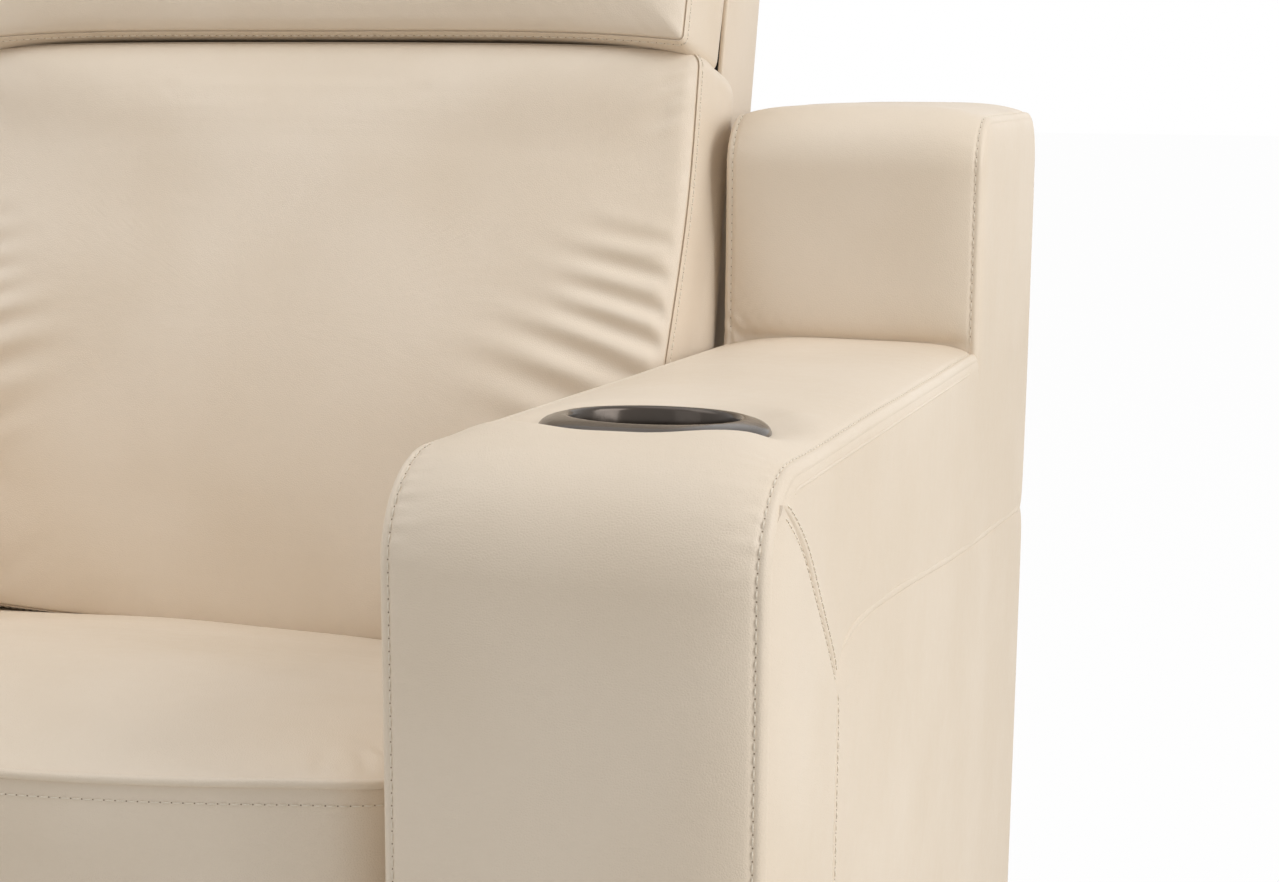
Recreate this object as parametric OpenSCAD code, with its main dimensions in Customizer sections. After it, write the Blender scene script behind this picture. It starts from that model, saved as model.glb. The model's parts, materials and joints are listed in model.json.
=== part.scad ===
// Cinema recliner seat with padded waterfall arms, a folding footrest, a reclining back and a
// tilting headrest. Millimetres, +Z up, the sitter faces -Y, origin at the middle of the floor area.

/* [Whole seat] */
// Width of one arm over its padding
arm_w = 184; // [172:2:196]
// Clear width between the two arms
seat_gap = 600; // [580:5:640]
// Depth of an arm, front roll to rear panel
arm_d = 890; // [870:5:910]
// Height of the arm top's side seam at the front
arm_front_z = 632; // [622:1:642]
// Height of the arm top's side seam where it meets the raised block
arm_rear_z = 612; // [606:1:620]
// Distance from the arm front to the raised rear block
block_y = 587; // [575:1:600]
// Height of the raised block's top seam
block_z = 771; // [760:1:785]
// Height of the arm's underside above the floor
arm_base_z = 46; // [42:1:52]
// Rake of the back at rest, from upright
rake = 15; // [13:1:17]

/* [Seat] */
// Height of the piping along the seat's front edge
seat_front_z = 466; // [460:1:474]
// Height of the seat's seam line at its rear
seat_rear_z = 396; // [390:1:402]
// Set-back of the seat's front face behind the arm front
seat_setback = 40; // [36:1:48]
// Height the seat cushion crowns over its seam line
seat_crown = 20; // [12:1:26]
// Gap between each cushion side and the arm beside it
side_gap = 6; // [5:0.5:8]

/* [Back and headrest] */
// Height of the back hinge
hinge_z = 330; // [326:1:334]
// Distance from the arm front to the back hinge
hinge_y = 620; // [614:1:626]
// Length of the back cushion's lower end above the hinge, along the rake
back_low_h = 48; // [46:1:54]
// Length of the back cushion's upper end above the hinge, along the rake
back_high_h = 458; // [450:1:462]
// Length of the headrest's upper end above the hinge, along the rake
head_high_h = 755; // [745:5:765]
// Distance of the back cushion's front seam ahead of the hinge
back_face_d = 164; // [158:1:170]
// Crown of the back cushion ahead of its seam
back_crown = 20; // [12:1:26]
// Distance the headrest stands ahead of the back cushion
head_forward_d = 20; // [14:1:26]
// Crown of the headrest ahead of its seam
head_crown = 22; // [14:1:26]
// Gap between each side of the back shell and the arm beside it
shell_gap = 25; // [22:1:30]

/* [Cup holder] */
// Distance from the arm front to the cup holder's centre
cup_y = 137; // [130:1:144]
// Outer radius of the raised ring
ring_r = 57; // [54:0.5:60]
// Radius of the cup bore
cup_r = 42; // [40:0.5:44]
// Depth of the cup below the ring
cup_depth = 76; // [68:1:84]
// Forward rise of the ring's plane
cup_tilt = 3; // [2:0.5:4]

/* [Footrest linkage] */
// Length of a scissor link between its end pivots
link_l = 200; // [196:1:204]
// Width of a scissor link
link_w = 25; // [22:1:26]
// Thickness of the mechanism's steel plate
plate_t = 5; // [4:0.5:5.5]
// Fold of the links at rest, from the line the footrest travels along
fold_rest = 80; // [79:0.5:81]
// Fold of the links with the footrest out
fold_out = 28; // [26:1:34]
// Radius of the pivot rivets
rivet_r = 5; // [4.5:0.25:5.5]
// Length of the footrest pad, top to bottom
foot_pad_h = 252; // [240:2:256]

/* [Hidden] */

// Tones of the materials
leather = [0.86, 0.79, 0.70];
leather_low = [0.80, 0.72, 0.62];
steel = [0.16, 0.16, 0.17];
bright = [0.62, 0.63, 0.65];
ply = [0.78, 0.64, 0.44];
plastic = [0.07, 0.07, 0.07];
bronze = [0.22, 0.19, 0.17];
cloth = [0.25, 0.24, 0.23];

$fn = 48;

// Overall places
overall_w = seat_gap + 2 * arm_w;
yf = -arm_d / 2;
yr = arm_d / 2;
arm_in = seat_gap / 2;
arm_out = arm_in + arm_w;
arm_mid = arm_in + arm_w / 2;
fit_gap = 0.3;
run_gap = 0.05;
cushion_half = arm_in - side_gap;

// Arm build
front_crown = 12;
top_crown = 9;
pad_t = 34;
roll_r = 46;
side_t = 14;
inner_t = 12;
board_t = 18;
strip_y = 142;
strip_gap = 1;
block_crown = 9;
block_front_r = 34;
block_rear_r = 42;
block_pad_t = 26;
block_down = 86;
rear_t = 14;
welt_r = 4;
seam_dip = 5;

// Cup holder build
ring_h = 15;
ring_tube = 7;
cup_wall = 2;
ring_sink = 13;
cup_z = lerp(arm_front_z, arm_rear_z, cup_y / block_y) + top_crown - ring_sink;

// Mechanism planes across the seat
mech_side_gap = 12;
plate_in = cushion_half - mech_side_gap;
layer_gap = 2;
web_inset = 0.1;
layer_step = plate_t + layer_gap;
rail_w = 30;
rail_h = 40;
rail_z = 40;
rail_t = 3;
tube_r = 14;
tube_wall = 3;
head_r = 8;
head_t = 1.5;

// Footrest linkage places
flange_rise = 19;
fold_z = 300;
flange_z = fold_z + flange_rise;
fold_back = 225;
fold_y = yf + fold_back;
reach_rest = link_l * cos(fold_rest);
drop_rest = link_l * sin(fold_rest);
drop_out = link_l * sin(fold_out);
slot_more = 8;
board_hinge_dy = -16;
board_hinge_dz = 6;
ear_r = 7;
foot_front = yf + seat_setback + plate_t;
foot_pad_t = 75;
foot_board_t = 12;
foot_top_over = 10;
foot_corner_r = 26;
foot_bow = 1.5;
lever_l = 60;
lever_off = -70;
shaft_r = 8;

// Back hinge and its lever
hinge_yy = yf + hinge_y;
back_swing = 42;
back_lever_l = 90;
back_lever_off = 70;
pin_r = 6;
slot_play = 0.8;

// Rounding steps of faceted soft forms
corner_steps = 3;
side_steps = 5;

// Helper functions
function lerp(a, b, s) = a + (b - a) * s;
function lerp2(p, q, s) = [lerp(p[0], q[0], s), lerp(p[1], q[1], s)];
function turn(p, a) = [p[0] * cos(a) - p[1] * sin(a), p[0] * sin(a) + p[1] * cos(a)];
function arc(c, r, a0, a1, n) = [for (i = [0:n]) c + r * [cos(lerp(a0, a1, i / n)), sin(lerp(a0, a1,
    i / n))]];
function crown_share(s) = 1 - pow(abs(s), 2.6);
function unit2(v) = v / norm(v);

// Share of a cushion's half size, and of its thickness, for each ring of its body
function ring_size_share() = [0.86, 0.955, 1, 1.004, 1.004, 1, 0.972, 0.9, 0.76, 0.56, 0.32, 0.1];
function widest_share() = 1.004;
function ring_depth_share() = [0, 0.02, 0.12, 0.35, 0.7, 0.93, 1, 1, 1, 1, 1, 1];

// Outline of a rounded rectangle whose sides bow by the given amount
function outline_side(p, q, out, bow, n) = [for (i = [1:n])
    lerp2(p, q, i / (n + 1)) + out * bow * (1 - pow(2 * i / (n + 1) - 1, 2))];
function outline(hw, hh, r, bow) = concat(
    arc([hw - r, hh - r], r, 0, 90, corner_steps),
    outline_side([hw - r, hh], [r - hw, hh], [0, 1], bow, side_steps),
    arc([r - hw, hh - r], r, 90, 180, corner_steps),
    outline_side([-hw, hh - r], [-hw, r - hh], [-1, 0], bow, side_steps),
    arc([r - hw, r - hh], r, 180, 270, corner_steps),
    outline_side([r - hw, -hh], [hw - r, -hh], [0, -1], bow, side_steps),
    arc([hw - r, r - hh], r, 270, 360, corner_steps),
    outline_side([hw, r - hh], [hw, hh - r], [1, 0], bow, side_steps));

// Stuffed cushion with boxed sides and a crowned top face, centred, lying on z = 0
module cushion(w, h, t, crown, r, bow) {
    g = widest_share();
    ring = outline(w / 2 / g - bow, h / 2 / g - bow, r, bow);
    n = len(ring);
    sz = ring_size_share();
    dz = ring_depth_share();
    m = len(sz);
    pts = [for (k = [0:m - 1]) for (p = ring)
        [p[0] * sz[k], p[1] * sz[k], t * dz[k] + (k > 5 ? crown * crown_share(sz[k]) : 0)]];
    faces = concat(
        [[for (i = [0:n - 1]) i]],
        [for (k = [0:m - 2]) for (i = [0:n - 1]) [k * n + i, (k + 1) * n + i, (k + 1) * n + (i + 1) % n]],
        [for (k = [0:m - 2]) for (i = [0:n - 1]) [k * n + i, (k + 1) * n + (i + 1) % n,
            k * n + (i + 1) % n]],
        [[for (i = [0:n - 1]) m * n - 1 - i]]);
    polyhedron(points = pts, faces = faces, convexity = 6);
}

// Padded panel wrapped along a line in the side plane, crowned across its width
function wrap_x_share() = [-1, -0.985, -0.93, -0.78, -0.5, -0.18, 0.18, 0.5, 0.78, 0.93, 0.985, 1];
module wrap_pad(outer, inner, half_w, crown, dip) {
    xs = wrap_x_share();
    nx = len(xs);
    n = nx + 2;
    m = len(outer);
    pts = [for (k = [0:m - 1]) let (d = unit2(outer[k] - inner[k]), c = crown[k]) each concat(
        [for (x = xs) let (o = c * crown_share(x) - dip * pow(abs(x), 24))
            [x * half_w, outer[k][0] + d[0] * o, outer[k][1] + d[1] * o]],
        [[half_w, inner[k][0], inner[k][1]], [-half_w, inner[k][0], inner[k][1]]])];
    faces = concat(
        [[for (i = [0:n - 1]) i]],
        [for (k = [0:m - 2]) for (i = [0:n - 1]) [k * n + i, (k + 1) * n + i, (k + 1) * n + (i + 1) % n]],
        [for (k = [0:m - 2]) for (i = [0:n - 1]) [k * n + i, (k + 1) * n + (i + 1) % n,
            k * n + (i + 1) % n]],
        [[for (i = [0:n - 1]) m * n - 1 - i]]);
    polyhedron(points = pts, faces = faces, convexity = 8);
}

// Side-plane drawing given a thickness across the seat
module across(x0, t) {
    translate([x0, 0, 0])
        rotate([90, 0, 90])
            linear_extrude(height = t)
                children();
}

// Round bar across the seat
module bar(x0, y, z, l, r) {
    translate([x0, y, z])
        rotate([0, 90, 0])
            cylinder(h = l, r = r);
}

// Box given by its low and high corners
module block(lo, hi) {
    translate(lo)
        cube(hi - lo);
}

// The same piece on both sides of the seat
module both() {
    children();
    mirror([1, 0, 0])
        children();
}

// Flat steel link between two points of the side plane
module link_bar(p, q, x0, w, t, rp, rq) {
    difference() {
        union() {
            bar(x0, p[0], p[1], t, w / 2);
            bar(x0, q[0], q[1], t, w / 2);
            translate([x0, p[0], p[1]])
                rotate([atan2(q[1] - p[1], q[0] - p[0]), 0, 0])
                    translate([web_inset, 0, (layer_gap / 2 - w) / 2])
                        cube([t - 2 * web_inset, norm(q - p), w - layer_gap / 2]);
        }
        if (rp > 0) bar(x0 - layer_gap, p[0], p[1], t + 2 * layer_gap, rp);
        if (rq > 0) bar(x0 - layer_gap, q[0], q[1], t + 2 * layer_gap, rq);
    }
}

// Shouldered rivet from one layer to another with a head at its inner end
module rivet(p, x_in, x_out, r) {
    bar(x_in - layer_gap / 4 - head_t, p[0], p[1], x_out - x_in + layer_gap / 4 + head_t, r);
    bar(x_in - layer_gap / 4 - head_t, p[0], p[1], head_t, r + head_r / 2);
}

// Layer planes of the mechanism, inner face of each layer
lay1 = plate_in - layer_step;
lay2 = lay1 - layer_step;
lay3 = lay2 - layer_step;
lay4 = lay3 - layer_step;

// Pivots of the folded scissor
piv_o = [fold_y, fold_z];
piv_s = piv_o + [0, -drop_rest];
piv_m1 = piv_o + [-reach_rest, -drop_rest] / 2;
piv_a2 = piv_o + [-reach_rest, -drop_rest];
piv_b2 = piv_o + [-reach_rest, 0];
piv_m2 = piv_m1 + [-reach_rest, 0];
piv_c2 = piv_o + [-2 * reach_rest, 0];
piv_d2 = piv_c2 + [0, -drop_rest];
piv_f = piv_c2 + [board_hinge_dy, board_hinge_dz];

// Lever pins of the two motors at rest
lever_rest = (fold_rest - fold_out) / 2;
foot_pin = piv_o + [lever_l * tan(lever_rest), -lever_l];
back_pin = [hinge_yy + back_lever_l * tan(back_swing / 2), hinge_z - back_lever_l];

// Arm outline in the side plane
arm_front_y = yf + front_crown;
function top_z(y) = lerp(arm_front_z, arm_rear_z, (y - yf) / block_y);
roll_c = [arm_front_y + roll_r, top_z(arm_front_y + roll_r) - roll_r];
block_fy = yf + block_y + block_crown;
block_ry = yr - block_crown;

pad_steps = 7;
top_pad_outer = concat(
    [for (s = [0:3]) [arm_front_y, lerp(arm_base_z, roll_c[1], s / 4)]],
    arc(roll_c, roll_r, 180, 92, pad_steps),
    [for (s = [1:4]) let (y = lerp(roll_c[0], block_fy + block_pad_t, s / 4)) [y, top_z(y)]]);
top_pad_inner = concat(
    [for (s = [0:3]) [arm_front_y + pad_t, lerp(arm_base_z, roll_c[1], s / 4)]],
    arc(roll_c, roll_r - pad_t, 180, 92, pad_steps),
    [for (s = [1:4]) let (y = lerp(roll_c[0], block_fy + block_pad_t, s / 4)) [y, top_z(y) - pad_t]]);
top_pad_crown = concat(
    [for (s = [0:3]) front_crown],
    [for (s = [0:pad_steps]) lerp(front_crown, top_crown, s / pad_steps)],
    [top_crown, top_crown, top_crown, top_crown]);

block_c1 = [block_fy + block_front_r, block_z - block_front_r];
block_c2 = [block_ry - block_rear_r, block_z - block_rear_r];
block_base = top_z(block_fy) + top_crown + fit_gap;
block_outer = concat(
    [for (s = [0:2]) [block_fy, lerp(block_base, block_c1[1], s / 3)]],
    arc(block_c1, block_front_r, 180, 90, 5),
    [for (s = [1:3]) [lerp(block_c1[0], block_c2[0], s / 4), block_z]],
    arc(block_c2, block_rear_r, 90, 0, 5),
    [[block_ry, block_z - block_rear_r - block_down / 2], [block_ry, block_z - block_rear_r - block_down]]);
block_inner = concat(
    [for (s = [0:2]) [block_fy + block_pad_t, lerp(block_base, block_c1[1], s / 3)]],
    arc(block_c1, block_front_r - block_pad_t, 180, 90, 5),
    [for (s = [1:3]) [lerp(block_c1[0], block_c2[0], s / 4), block_z - block_pad_t]],
    arc(block_c2, block_rear_r - block_pad_t, 90, 0, 5),
    [[block_ry - block_pad_t, block_z - block_rear_r - block_down / 2],
        [block_ry - block_pad_t, block_z - block_rear_r - block_down]]);

// Outline of the arm's side, inside the wrapped pads' outer line
module arm_side_shape(y0) {
    polygon(concat(
        [[y0, arm_base_z]],
        y0 > arm_front_y + roll_r ? [[y0, top_z(y0)]] : arc(roll_c, roll_r, 180, 92, 12),
        [[block_fy, top_z(block_fy)]],
        arc(block_c1, block_front_r, 180, 90, 8),
        arc(block_c2, block_rear_r, 90, 0, 8),
        [[block_ry, arm_base_z]]));
}

// Outline of the arm frame's space, inside the pads
module arm_core_shape() {
    y0 = arm_front_y + pad_t + fit_gap;
    polygon(concat(
        [[y0, arm_base_z]],
        arc(roll_c, roll_r - pad_t - fit_gap, 180, 92, 6),
        [[block_fy + block_pad_t + fit_gap, top_z(block_fy + block_pad_t) - pad_t - fit_gap]],
        [[block_fy + block_pad_t + fit_gap, block_c1[1]]],
        [[block_c1[0], block_z - block_pad_t - fit_gap]],
        [[block_c2[0], block_z - block_pad_t - fit_gap]],
        [[block_ry - block_pad_t - fit_gap, block_c2[1]]],
        [[block_ry - block_pad_t - fit_gap, arm_base_z]]));
}

panel_out = arm_out - side_t;
core_in = arm_in + inner_t + fit_gap;
core_out = panel_out - fit_gap;
pad_half = arm_w / 2 - side_t - fit_gap;

// Wooden frame inside an arm: two studs, a rear board, rails, a top board and the block's box
module arm_frame_body() {
    window = 60;
    difference() {
        across(core_in, core_out - core_in)
            arm_core_shape();
        across(core_in + board_t, core_out - core_in - 2 * board_t)
            offset_core();
        across(core_in - board_t, core_out - core_in + 2 * board_t)
            side_windows(window);
        cup_cut(cup_r + cup_wall + fit_gap);
        both_bolt_holes();
    }
}

module offset_core() {
    y0 = arm_front_y + pad_t + board_t;
    y1 = block_ry - block_pad_t - board_t;
    ym = block_fy + block_pad_t + board_t;
    polygon([[y0, arm_base_z + board_t], [y0, top_z(y0) - pad_t - board_t],
        [ym, top_z(ym) - pad_t - board_t], [ym, block_z - block_pad_t - board_t],
        [y1, block_z - block_pad_t - board_t], [y1, arm_base_z + board_t]]);
}

module side_windows(window) {
    y0 = arm_front_y + pad_t + window;
    y1 = block_ry - block_pad_t - window;
    ym = block_fy + block_pad_t;
    zt = top_z(ym) - pad_t - window;
    polygon([[y0, arm_base_z + 2 * window], [y0, zt], [ym - window, zt],
        [ym - window, arm_base_z + 2 * window]]);
    polygon([[ym + window / 2, arm_base_z + 2 * window], [ym + window / 2, block_z - 2 * window],
        [y1, block_z - 2 * window], [y1, arm_base_z + 2 * window]]);
}

// Tilted bore that lets the cup through the arm top
module cup_cut(r) {
    translate([arm_mid, yf + cup_y, cup_z])
        rotate([-cup_tilt, 0, 0])
            translate([0, 0, -cup_depth - ring_h])
                cylinder(h = cup_depth + 4 * ring_h, r = r);
}

bolt_r = 4;
bolt_head_r = 8;
bolt_head_t = 5;
bolt_front = 200;
bolt_rear = 780;
bolt_y = [yf + bolt_front, yf + bolt_rear];
bolt_z = rail_z + rail_h / 2;

module both_bolt_holes() {
    for (y = bolt_y)
        bar(arm_in - board_t, y, bolt_z, inner_t + 3 * board_t, bolt_r + fit_gap);
}

module arm_frame() {
    color(ply)
        arm_frame_body();
}

module arm_top_pad() {
    color(leather)
        difference() {
            translate([arm_mid, 0, 0])
                wrap_pad(top_pad_outer, top_pad_inner, arm_w / 2, top_pad_crown, seam_dip);
            cup_cut(cup_r + cup_wall + fit_gap);
            translate([arm_mid, yf + cup_y, cup_z])
                rotate([-cup_tilt, 0, 0])
                    translate([0, 0, -ring_h / 3 - cup_wall - 2 * fit_gap])
                        cylinder(h = 3 * ring_h, r = ring_r + fit_gap);
        }
}

module arm_rear_block() {
    color(leather)
        translate([arm_mid, 0, 0])
            wrap_pad(block_outer, block_inner, arm_w / 2, [for (p = block_outer) block_crown], seam_dip);
}

module arm_rear_panel() {
    z1 = block_z - block_rear_r - block_down - fit_gap;
    color(leather_low)
        block([core_in, block_ry - rear_t, arm_base_z], [core_out, yr - fit_gap, z1]);
}

// Side panel: its front and top edges stop inside the wrapped pads' edges
module arm_outer_panel() {
    color(leather)
        difference() {
            across(panel_out, side_t)
                difference() {
                    side_inset_shape();
                    translate([yf, 0])
                        square([strip_y, arm_front_z + block_z]);
                }
        }
}

module arm_front_strip() {
    color(leather)
        across(panel_out, side_t)
            intersection() {
                side_inset_shape();
                translate([yf, 0])
                    square([strip_y - strip_gap, arm_front_z + block_z]);
            }
}

module side_inset_shape() {
    y0 = arm_front_y + pad_t + fit_gap;
    ym = block_fy + block_pad_t + fit_gap;
    polygon(concat(
        [[y0, arm_base_z]],
        arc(roll_c, roll_r - pad_t - fit_gap, 180, 92, 6),
        [[ym, top_z(ym) - pad_t - fit_gap]],
        [[ym, block_c1[1]]],
        arc(block_c1, block_front_r - block_pad_t - fit_gap, 180, 90, 6),
        arc(block_c2, block_rear_r - block_pad_t - fit_gap, 90, 0, 6),
        [[block_ry - block_pad_t - fit_gap, arm_base_z]]));
}

module arm_inner_panel() {
    color(leather_low)
        difference() {
            across(arm_in, inner_t)
                side_inset_shape();
            both_bolt_holes();
        }
}

// The right arm's inner panel also lets the switch through
module right_arm_inner_panel() {
    difference() {
        arm_inner_panel();
        block([arm_in - inner_t, switch_y - rocker_step - rocker_t + bezel_t - fit_gap,
            switch_z - rocker_l / 2 - bezel_t - fit_gap],
            [arm_in + 2 * inner_t, switch_y + rocker_step + rocker_t - bezel_t + fit_gap,
            switch_z + rocker_l / 2 + bezel_t + fit_gap]);
    }
}

// Raised glossy ring of the cup holder
module cup_holder_ring() {
    color(bronze)
        translate([arm_mid, yf + cup_y, cup_z])
            rotate([-cup_tilt, 0, 0])
                rotate_extrude()
                    ring_profile();
}

module ring_profile() {
    difference() {
        union() {
            translate([cup_r + fit_gap, -ring_h / 3])
                square([ring_r - ring_tube - cup_r, ring_h]);
            translate([ring_r - ring_tube, 2 * ring_h / 3 - ring_tube])
                circle(r = ring_tube);
        }
        translate([cup_r - ring_h, -ring_h - ring_h / 3])
            square([ring_r, ring_h]);
    }
}

module cup_holder_cup() {
    color(plastic)
        translate([arm_mid, yf + cup_y, cup_z])
            rotate([-cup_tilt, 0, 0])
                difference() {
                    union() {
                        translate([0, 0, -cup_depth])
                            cylinder(h = cup_depth - ring_h / 3 - fit_gap, r = cup_r + cup_wall);
                        translate([0, 0, -ring_h / 3 - fit_gap - cup_wall])
                            cylinder(h = cup_wall, r = ring_r - ring_tube);
                    }
                    translate([0, 0, -cup_depth + cup_wall])
                        cylinder(h = cup_depth + ring_h, r = cup_r);
                }
}

// Steel floor frame: two box rails, two ties, floor tabs
rail_front = 150;
rail_rear = 840;
rail_y0 = yf + rail_front;
rail_y1 = yf + rail_rear;
tie_y = [rail_y0 + rail_w / 2, rail_y1 - rail_w + plate_t];
tab_front = 250;
tab_rear = 730;
tab_y = [yf + tab_front, yf + tab_rear];
tab_l = 50;
tab_hole_r = 5.25;
tab_x = plate_in - rail_w - tab_l / 2;

module base_frame() {
    color(steel)
        difference() {
            union() {
                both() {
                    difference() {
                        block([plate_in - rail_w - fit_gap, rail_y0, rail_z],
                            [plate_in - fit_gap, rail_y1, rail_z + rail_h]);
                        block([plate_in - rail_w - fit_gap + rail_t, rail_y0 - rail_t, rail_z + rail_t],
                            [plate_in - fit_gap - rail_t, rail_y1 + rail_t, rail_z + rail_h - rail_t]);
                    }
                    for (y = tab_y) {
                        block([tab_x - tab_l / 2, y - tab_l / 2, 0],
                            [plate_in - rail_w, y + tab_l / 2, plate_t]);
                        block([plate_in - rail_w - plate_t, y - tab_l / 2, 0],
                            [plate_in - rail_w, y + tab_l / 2, rail_z + rail_h / 2]);
                    }
                }
                for (y = tie_y)
                    difference() {
                        block([rail_w - plate_in, y - rail_w / 2, rail_z + rail_t],
                            [plate_in - rail_w, y + rail_w / 2, rail_z + rail_w]);
                        block([rail_w - plate_in + rail_t, y - rail_w / 2 + rail_t, rail_z + 2 * rail_t],
                            [plate_in - rail_w - rail_t, y + rail_w / 2 - rail_t,
                                rail_z + rail_w - rail_t]);
                    }
            }
            both() {
                for (y = tab_y)
                    translate([tab_x, y, -plate_t])
                        cylinder(h = 3 * plate_t, r = tab_hole_r);
                for (y = bolt_y)
                    bar(plate_in - 2 * rail_w, y, bolt_z, 3 * rail_w, bolt_r + fit_gap);
            }
        }
}

// Moulded feet under the rails and the arms
foot_r = 24;
foot_inset = 70;
module floor_feet() {
    color(plastic)
        both() {
            for (y = [rail_y0 + foot_r, rail_y1 - foot_r])
                foot_at(plate_in - rail_w / 2, y, rail_z - fit_gap);
            for (y = [yf + foot_inset + pad_t, yr - foot_inset])
                foot_at(arm_mid, y, arm_base_z - fit_gap);
        }
}

module foot_at(x, y, h) {
    translate([x, y, 0]) {
        cylinder(h = h / 3, r = foot_r);
        cylinder(h = h, r = 2 * foot_r / 3);
    }
}

// Side plates that carry the seat, the back hinge and the scissor pivots
module mechanism_side_plates() {
    color(steel)
        both()
            difference() {
                union() {
                    across(plate_in, plate_t)
                        plate_shape();
                    block([plate_in - rail_w, fold_y + tube_r, flange_z],
                        [plate_in + plate_t, hinge_yy - 2 * rail_w,
                        flange_z + plate_t]);
                }
                bar(plate_in - plate_t, piv_o[0], piv_o[1], 3 * plate_t, shaft_r + run_gap);
                bar(plate_in - plate_t, hinge_yy, hinge_z, 3 * plate_t, shaft_r + fit_gap);
                slot_cut(plate_in - plate_t, piv_o + [0, -drop_out], piv_s, 3 * plate_t);
                for (y = bolt_y)
                    bar(plate_in - plate_t, y, bolt_z, 3 * plate_t, bolt_r + fit_gap);
                for (y = seat_bolt_y)
                    translate([seat_bolt_x, y, flange_z - plate_t])
                        cylinder(h = 3 * plate_t, r = bolt_r + fit_gap);
            }
}

plate_nose = 55;
module plate_shape() {
    polygon([[fold_y - plate_nose, rail_z + plate_t], [rail_y1 - rail_w, rail_z + plate_t],
        [rail_y1 - rail_w, rail_z + 2 * rail_h],
        [hinge_yy + rail_w, hinge_z - rail_w], [hinge_yy + rail_w, hinge_z + rail_w],
        [hinge_yy - rail_w, hinge_z + rail_w], [hinge_yy - 2 * rail_w, flange_z + plate_t],
        [fold_y - rail_w, flange_z + plate_t], [fold_y - rail_w, piv_s[1] + link_w],
        [fold_y - plate_nose, piv_s[1] - link_w]]);
}

module slot_cut(x0, p, q, t) {
    r = rivet_r + run_gap * 4;
    a = p + [0, slot_more / 2];
    b = q - [0, slot_more / 2];
    bar(x0, a[0], a[1], t, r);
    bar(x0, b[0], b[1], t, r);
    block([x0, b[0] - r, b[1]], [x0 + t, a[0] + r, a[1]]);
}

// Round tubes tying the side plates and carrying the motor clevises
cross_z = 180;
cross_front = 320;
cross_rear = 560;
cross_y = [yf + cross_front, yf + cross_rear];
module mechanism_cross_tubes() {
    color(steel) {
        for (y = cross_y)
            difference() {
                bar(fit_gap - plate_in, y, cross_z, 2 * (plate_in - fit_gap), tube_r);
                bar(-plate_in, y, cross_z, 2 * plate_in, tube_r - tube_wall);
            }
        clevis_at(lever_off, cross_y[1], foot_pin[1]);
        clevis_at(back_lever_off, cross_y[0], back_pin[1]);
    }
}

clevis_gap = 20;
module clevis_at(x, y, z) {
    for (s = [-1, 1])
        difference() {
            union() {
                bar(x + s * (clevis_gap + plate_t) / 2 - plate_t / 2, y, z, plate_t, tube_r);
                block([x + s * (clevis_gap + plate_t) / 2 - plate_t / 2, y - tube_r, cross_z + tube_r / 2],
                    [x + s * (clevis_gap + plate_t) / 2 + plate_t / 2, y + tube_r, z]);
            }
            bar(x - 2 * clevis_gap, y, z, 4 * clevis_gap, pin_r + fit_gap);
            bar(x - 2 * clevis_gap, y, cross_z, 4 * clevis_gap, tube_r - tube_wall);
        }
}

module back_hinge_bolts() {
    color(bright)
        both() {
            bar(lay1 - plate_t, hinge_yy, hinge_z, plate_in + plate_t - lay1 + plate_t, shaft_r);
            bar(plate_in + plate_t, hinge_yy, hinge_z, bolt_head_t, shaft_r + bolt_r);
        }
}

module arm_bolts() {
    color(bright)
        both()
            for (y = bolt_y) {
                bar(plate_in - rail_w - fit_gap - bolt_head_t, y, bolt_z, bolt_head_t, bolt_head_r);
                bar(plate_in - rail_w - fit_gap, y, bolt_z,
                    core_in + board_t + plate_t - plate_in + rail_w, bolt_r);
                difference() {
                    bar(plate_in + plate_t + fit_gap, y, bolt_z,
                        arm_in - plate_in - plate_t - 2 * fit_gap, bolt_head_r);
                    bar(plate_in, y, bolt_z, arm_in - plate_in, bolt_r - fit_gap);
                }
            }
}

// Wooden seat box with open middle
nose_t = 34;
nose_in_r = 10;
box_z0 = flange_z + plate_t + fit_gap;
box_h = 50;
box_y0 = yf + seat_setback + nose_t + nose_in_r + fit_gap;
box_y1 = hinge_yy - 2 * rail_w;
box_side = 8;
box_half = cushion_half - box_side;
seat_bolt_x = plate_in - rail_w / 2;
seat_bolt_y = [fold_y + 2 * rail_w, hinge_yy - 4 * rail_w];

module seat_box() {
    color(ply)
        difference() {
            block([-box_half, box_y0, box_z0], [box_half, box_y1, box_z0 + box_h]);
            block([2 * board_t - box_half, box_y0 + board_t, box_z0 - board_t],
                [box_half - 2 * board_t, box_y1 - board_t, box_z0 + box_h + board_t]);
            both()
                for (y = seat_bolt_y)
                    translate([seat_bolt_x, y, box_z0 - board_t])
                        cylinder(h = 2 * board_t + box_h, r = bolt_r + fit_gap);
        }
}

module seat_bolts() {
    color(bright)
        both()
            for (y = seat_bolt_y)
                translate([seat_bolt_x, y, flange_z - bolt_head_t]) {
                    cylinder(h = bolt_head_t - fit_gap, r = bolt_r + bolt_r / 2);
                    cylinder(h = bolt_head_t + plate_t + box_h, r = bolt_r);
                }
}

// Zigzag springs across the box
spring_w = 3.8;
spring_n = 5;
spring_turns = 15;
function amp_share() = 0.62;
module seat_springs() {
    z = box_z0 + box_h / 2;
    y0 = box_y0 + board_t + fit_gap;
    y1 = box_y1 - board_t - fit_gap;
    pitch = (y1 - y0) / spring_turns;
    color(steel)
        for (k = [0:spring_n - 1])
            translate([lerp(-box_half, box_half, (k + 1) / (spring_n + 1)), y0, z])
                linear_extrude(height = spring_w)
                    zigzag(pitch, pitch * amp_share());
}

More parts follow.
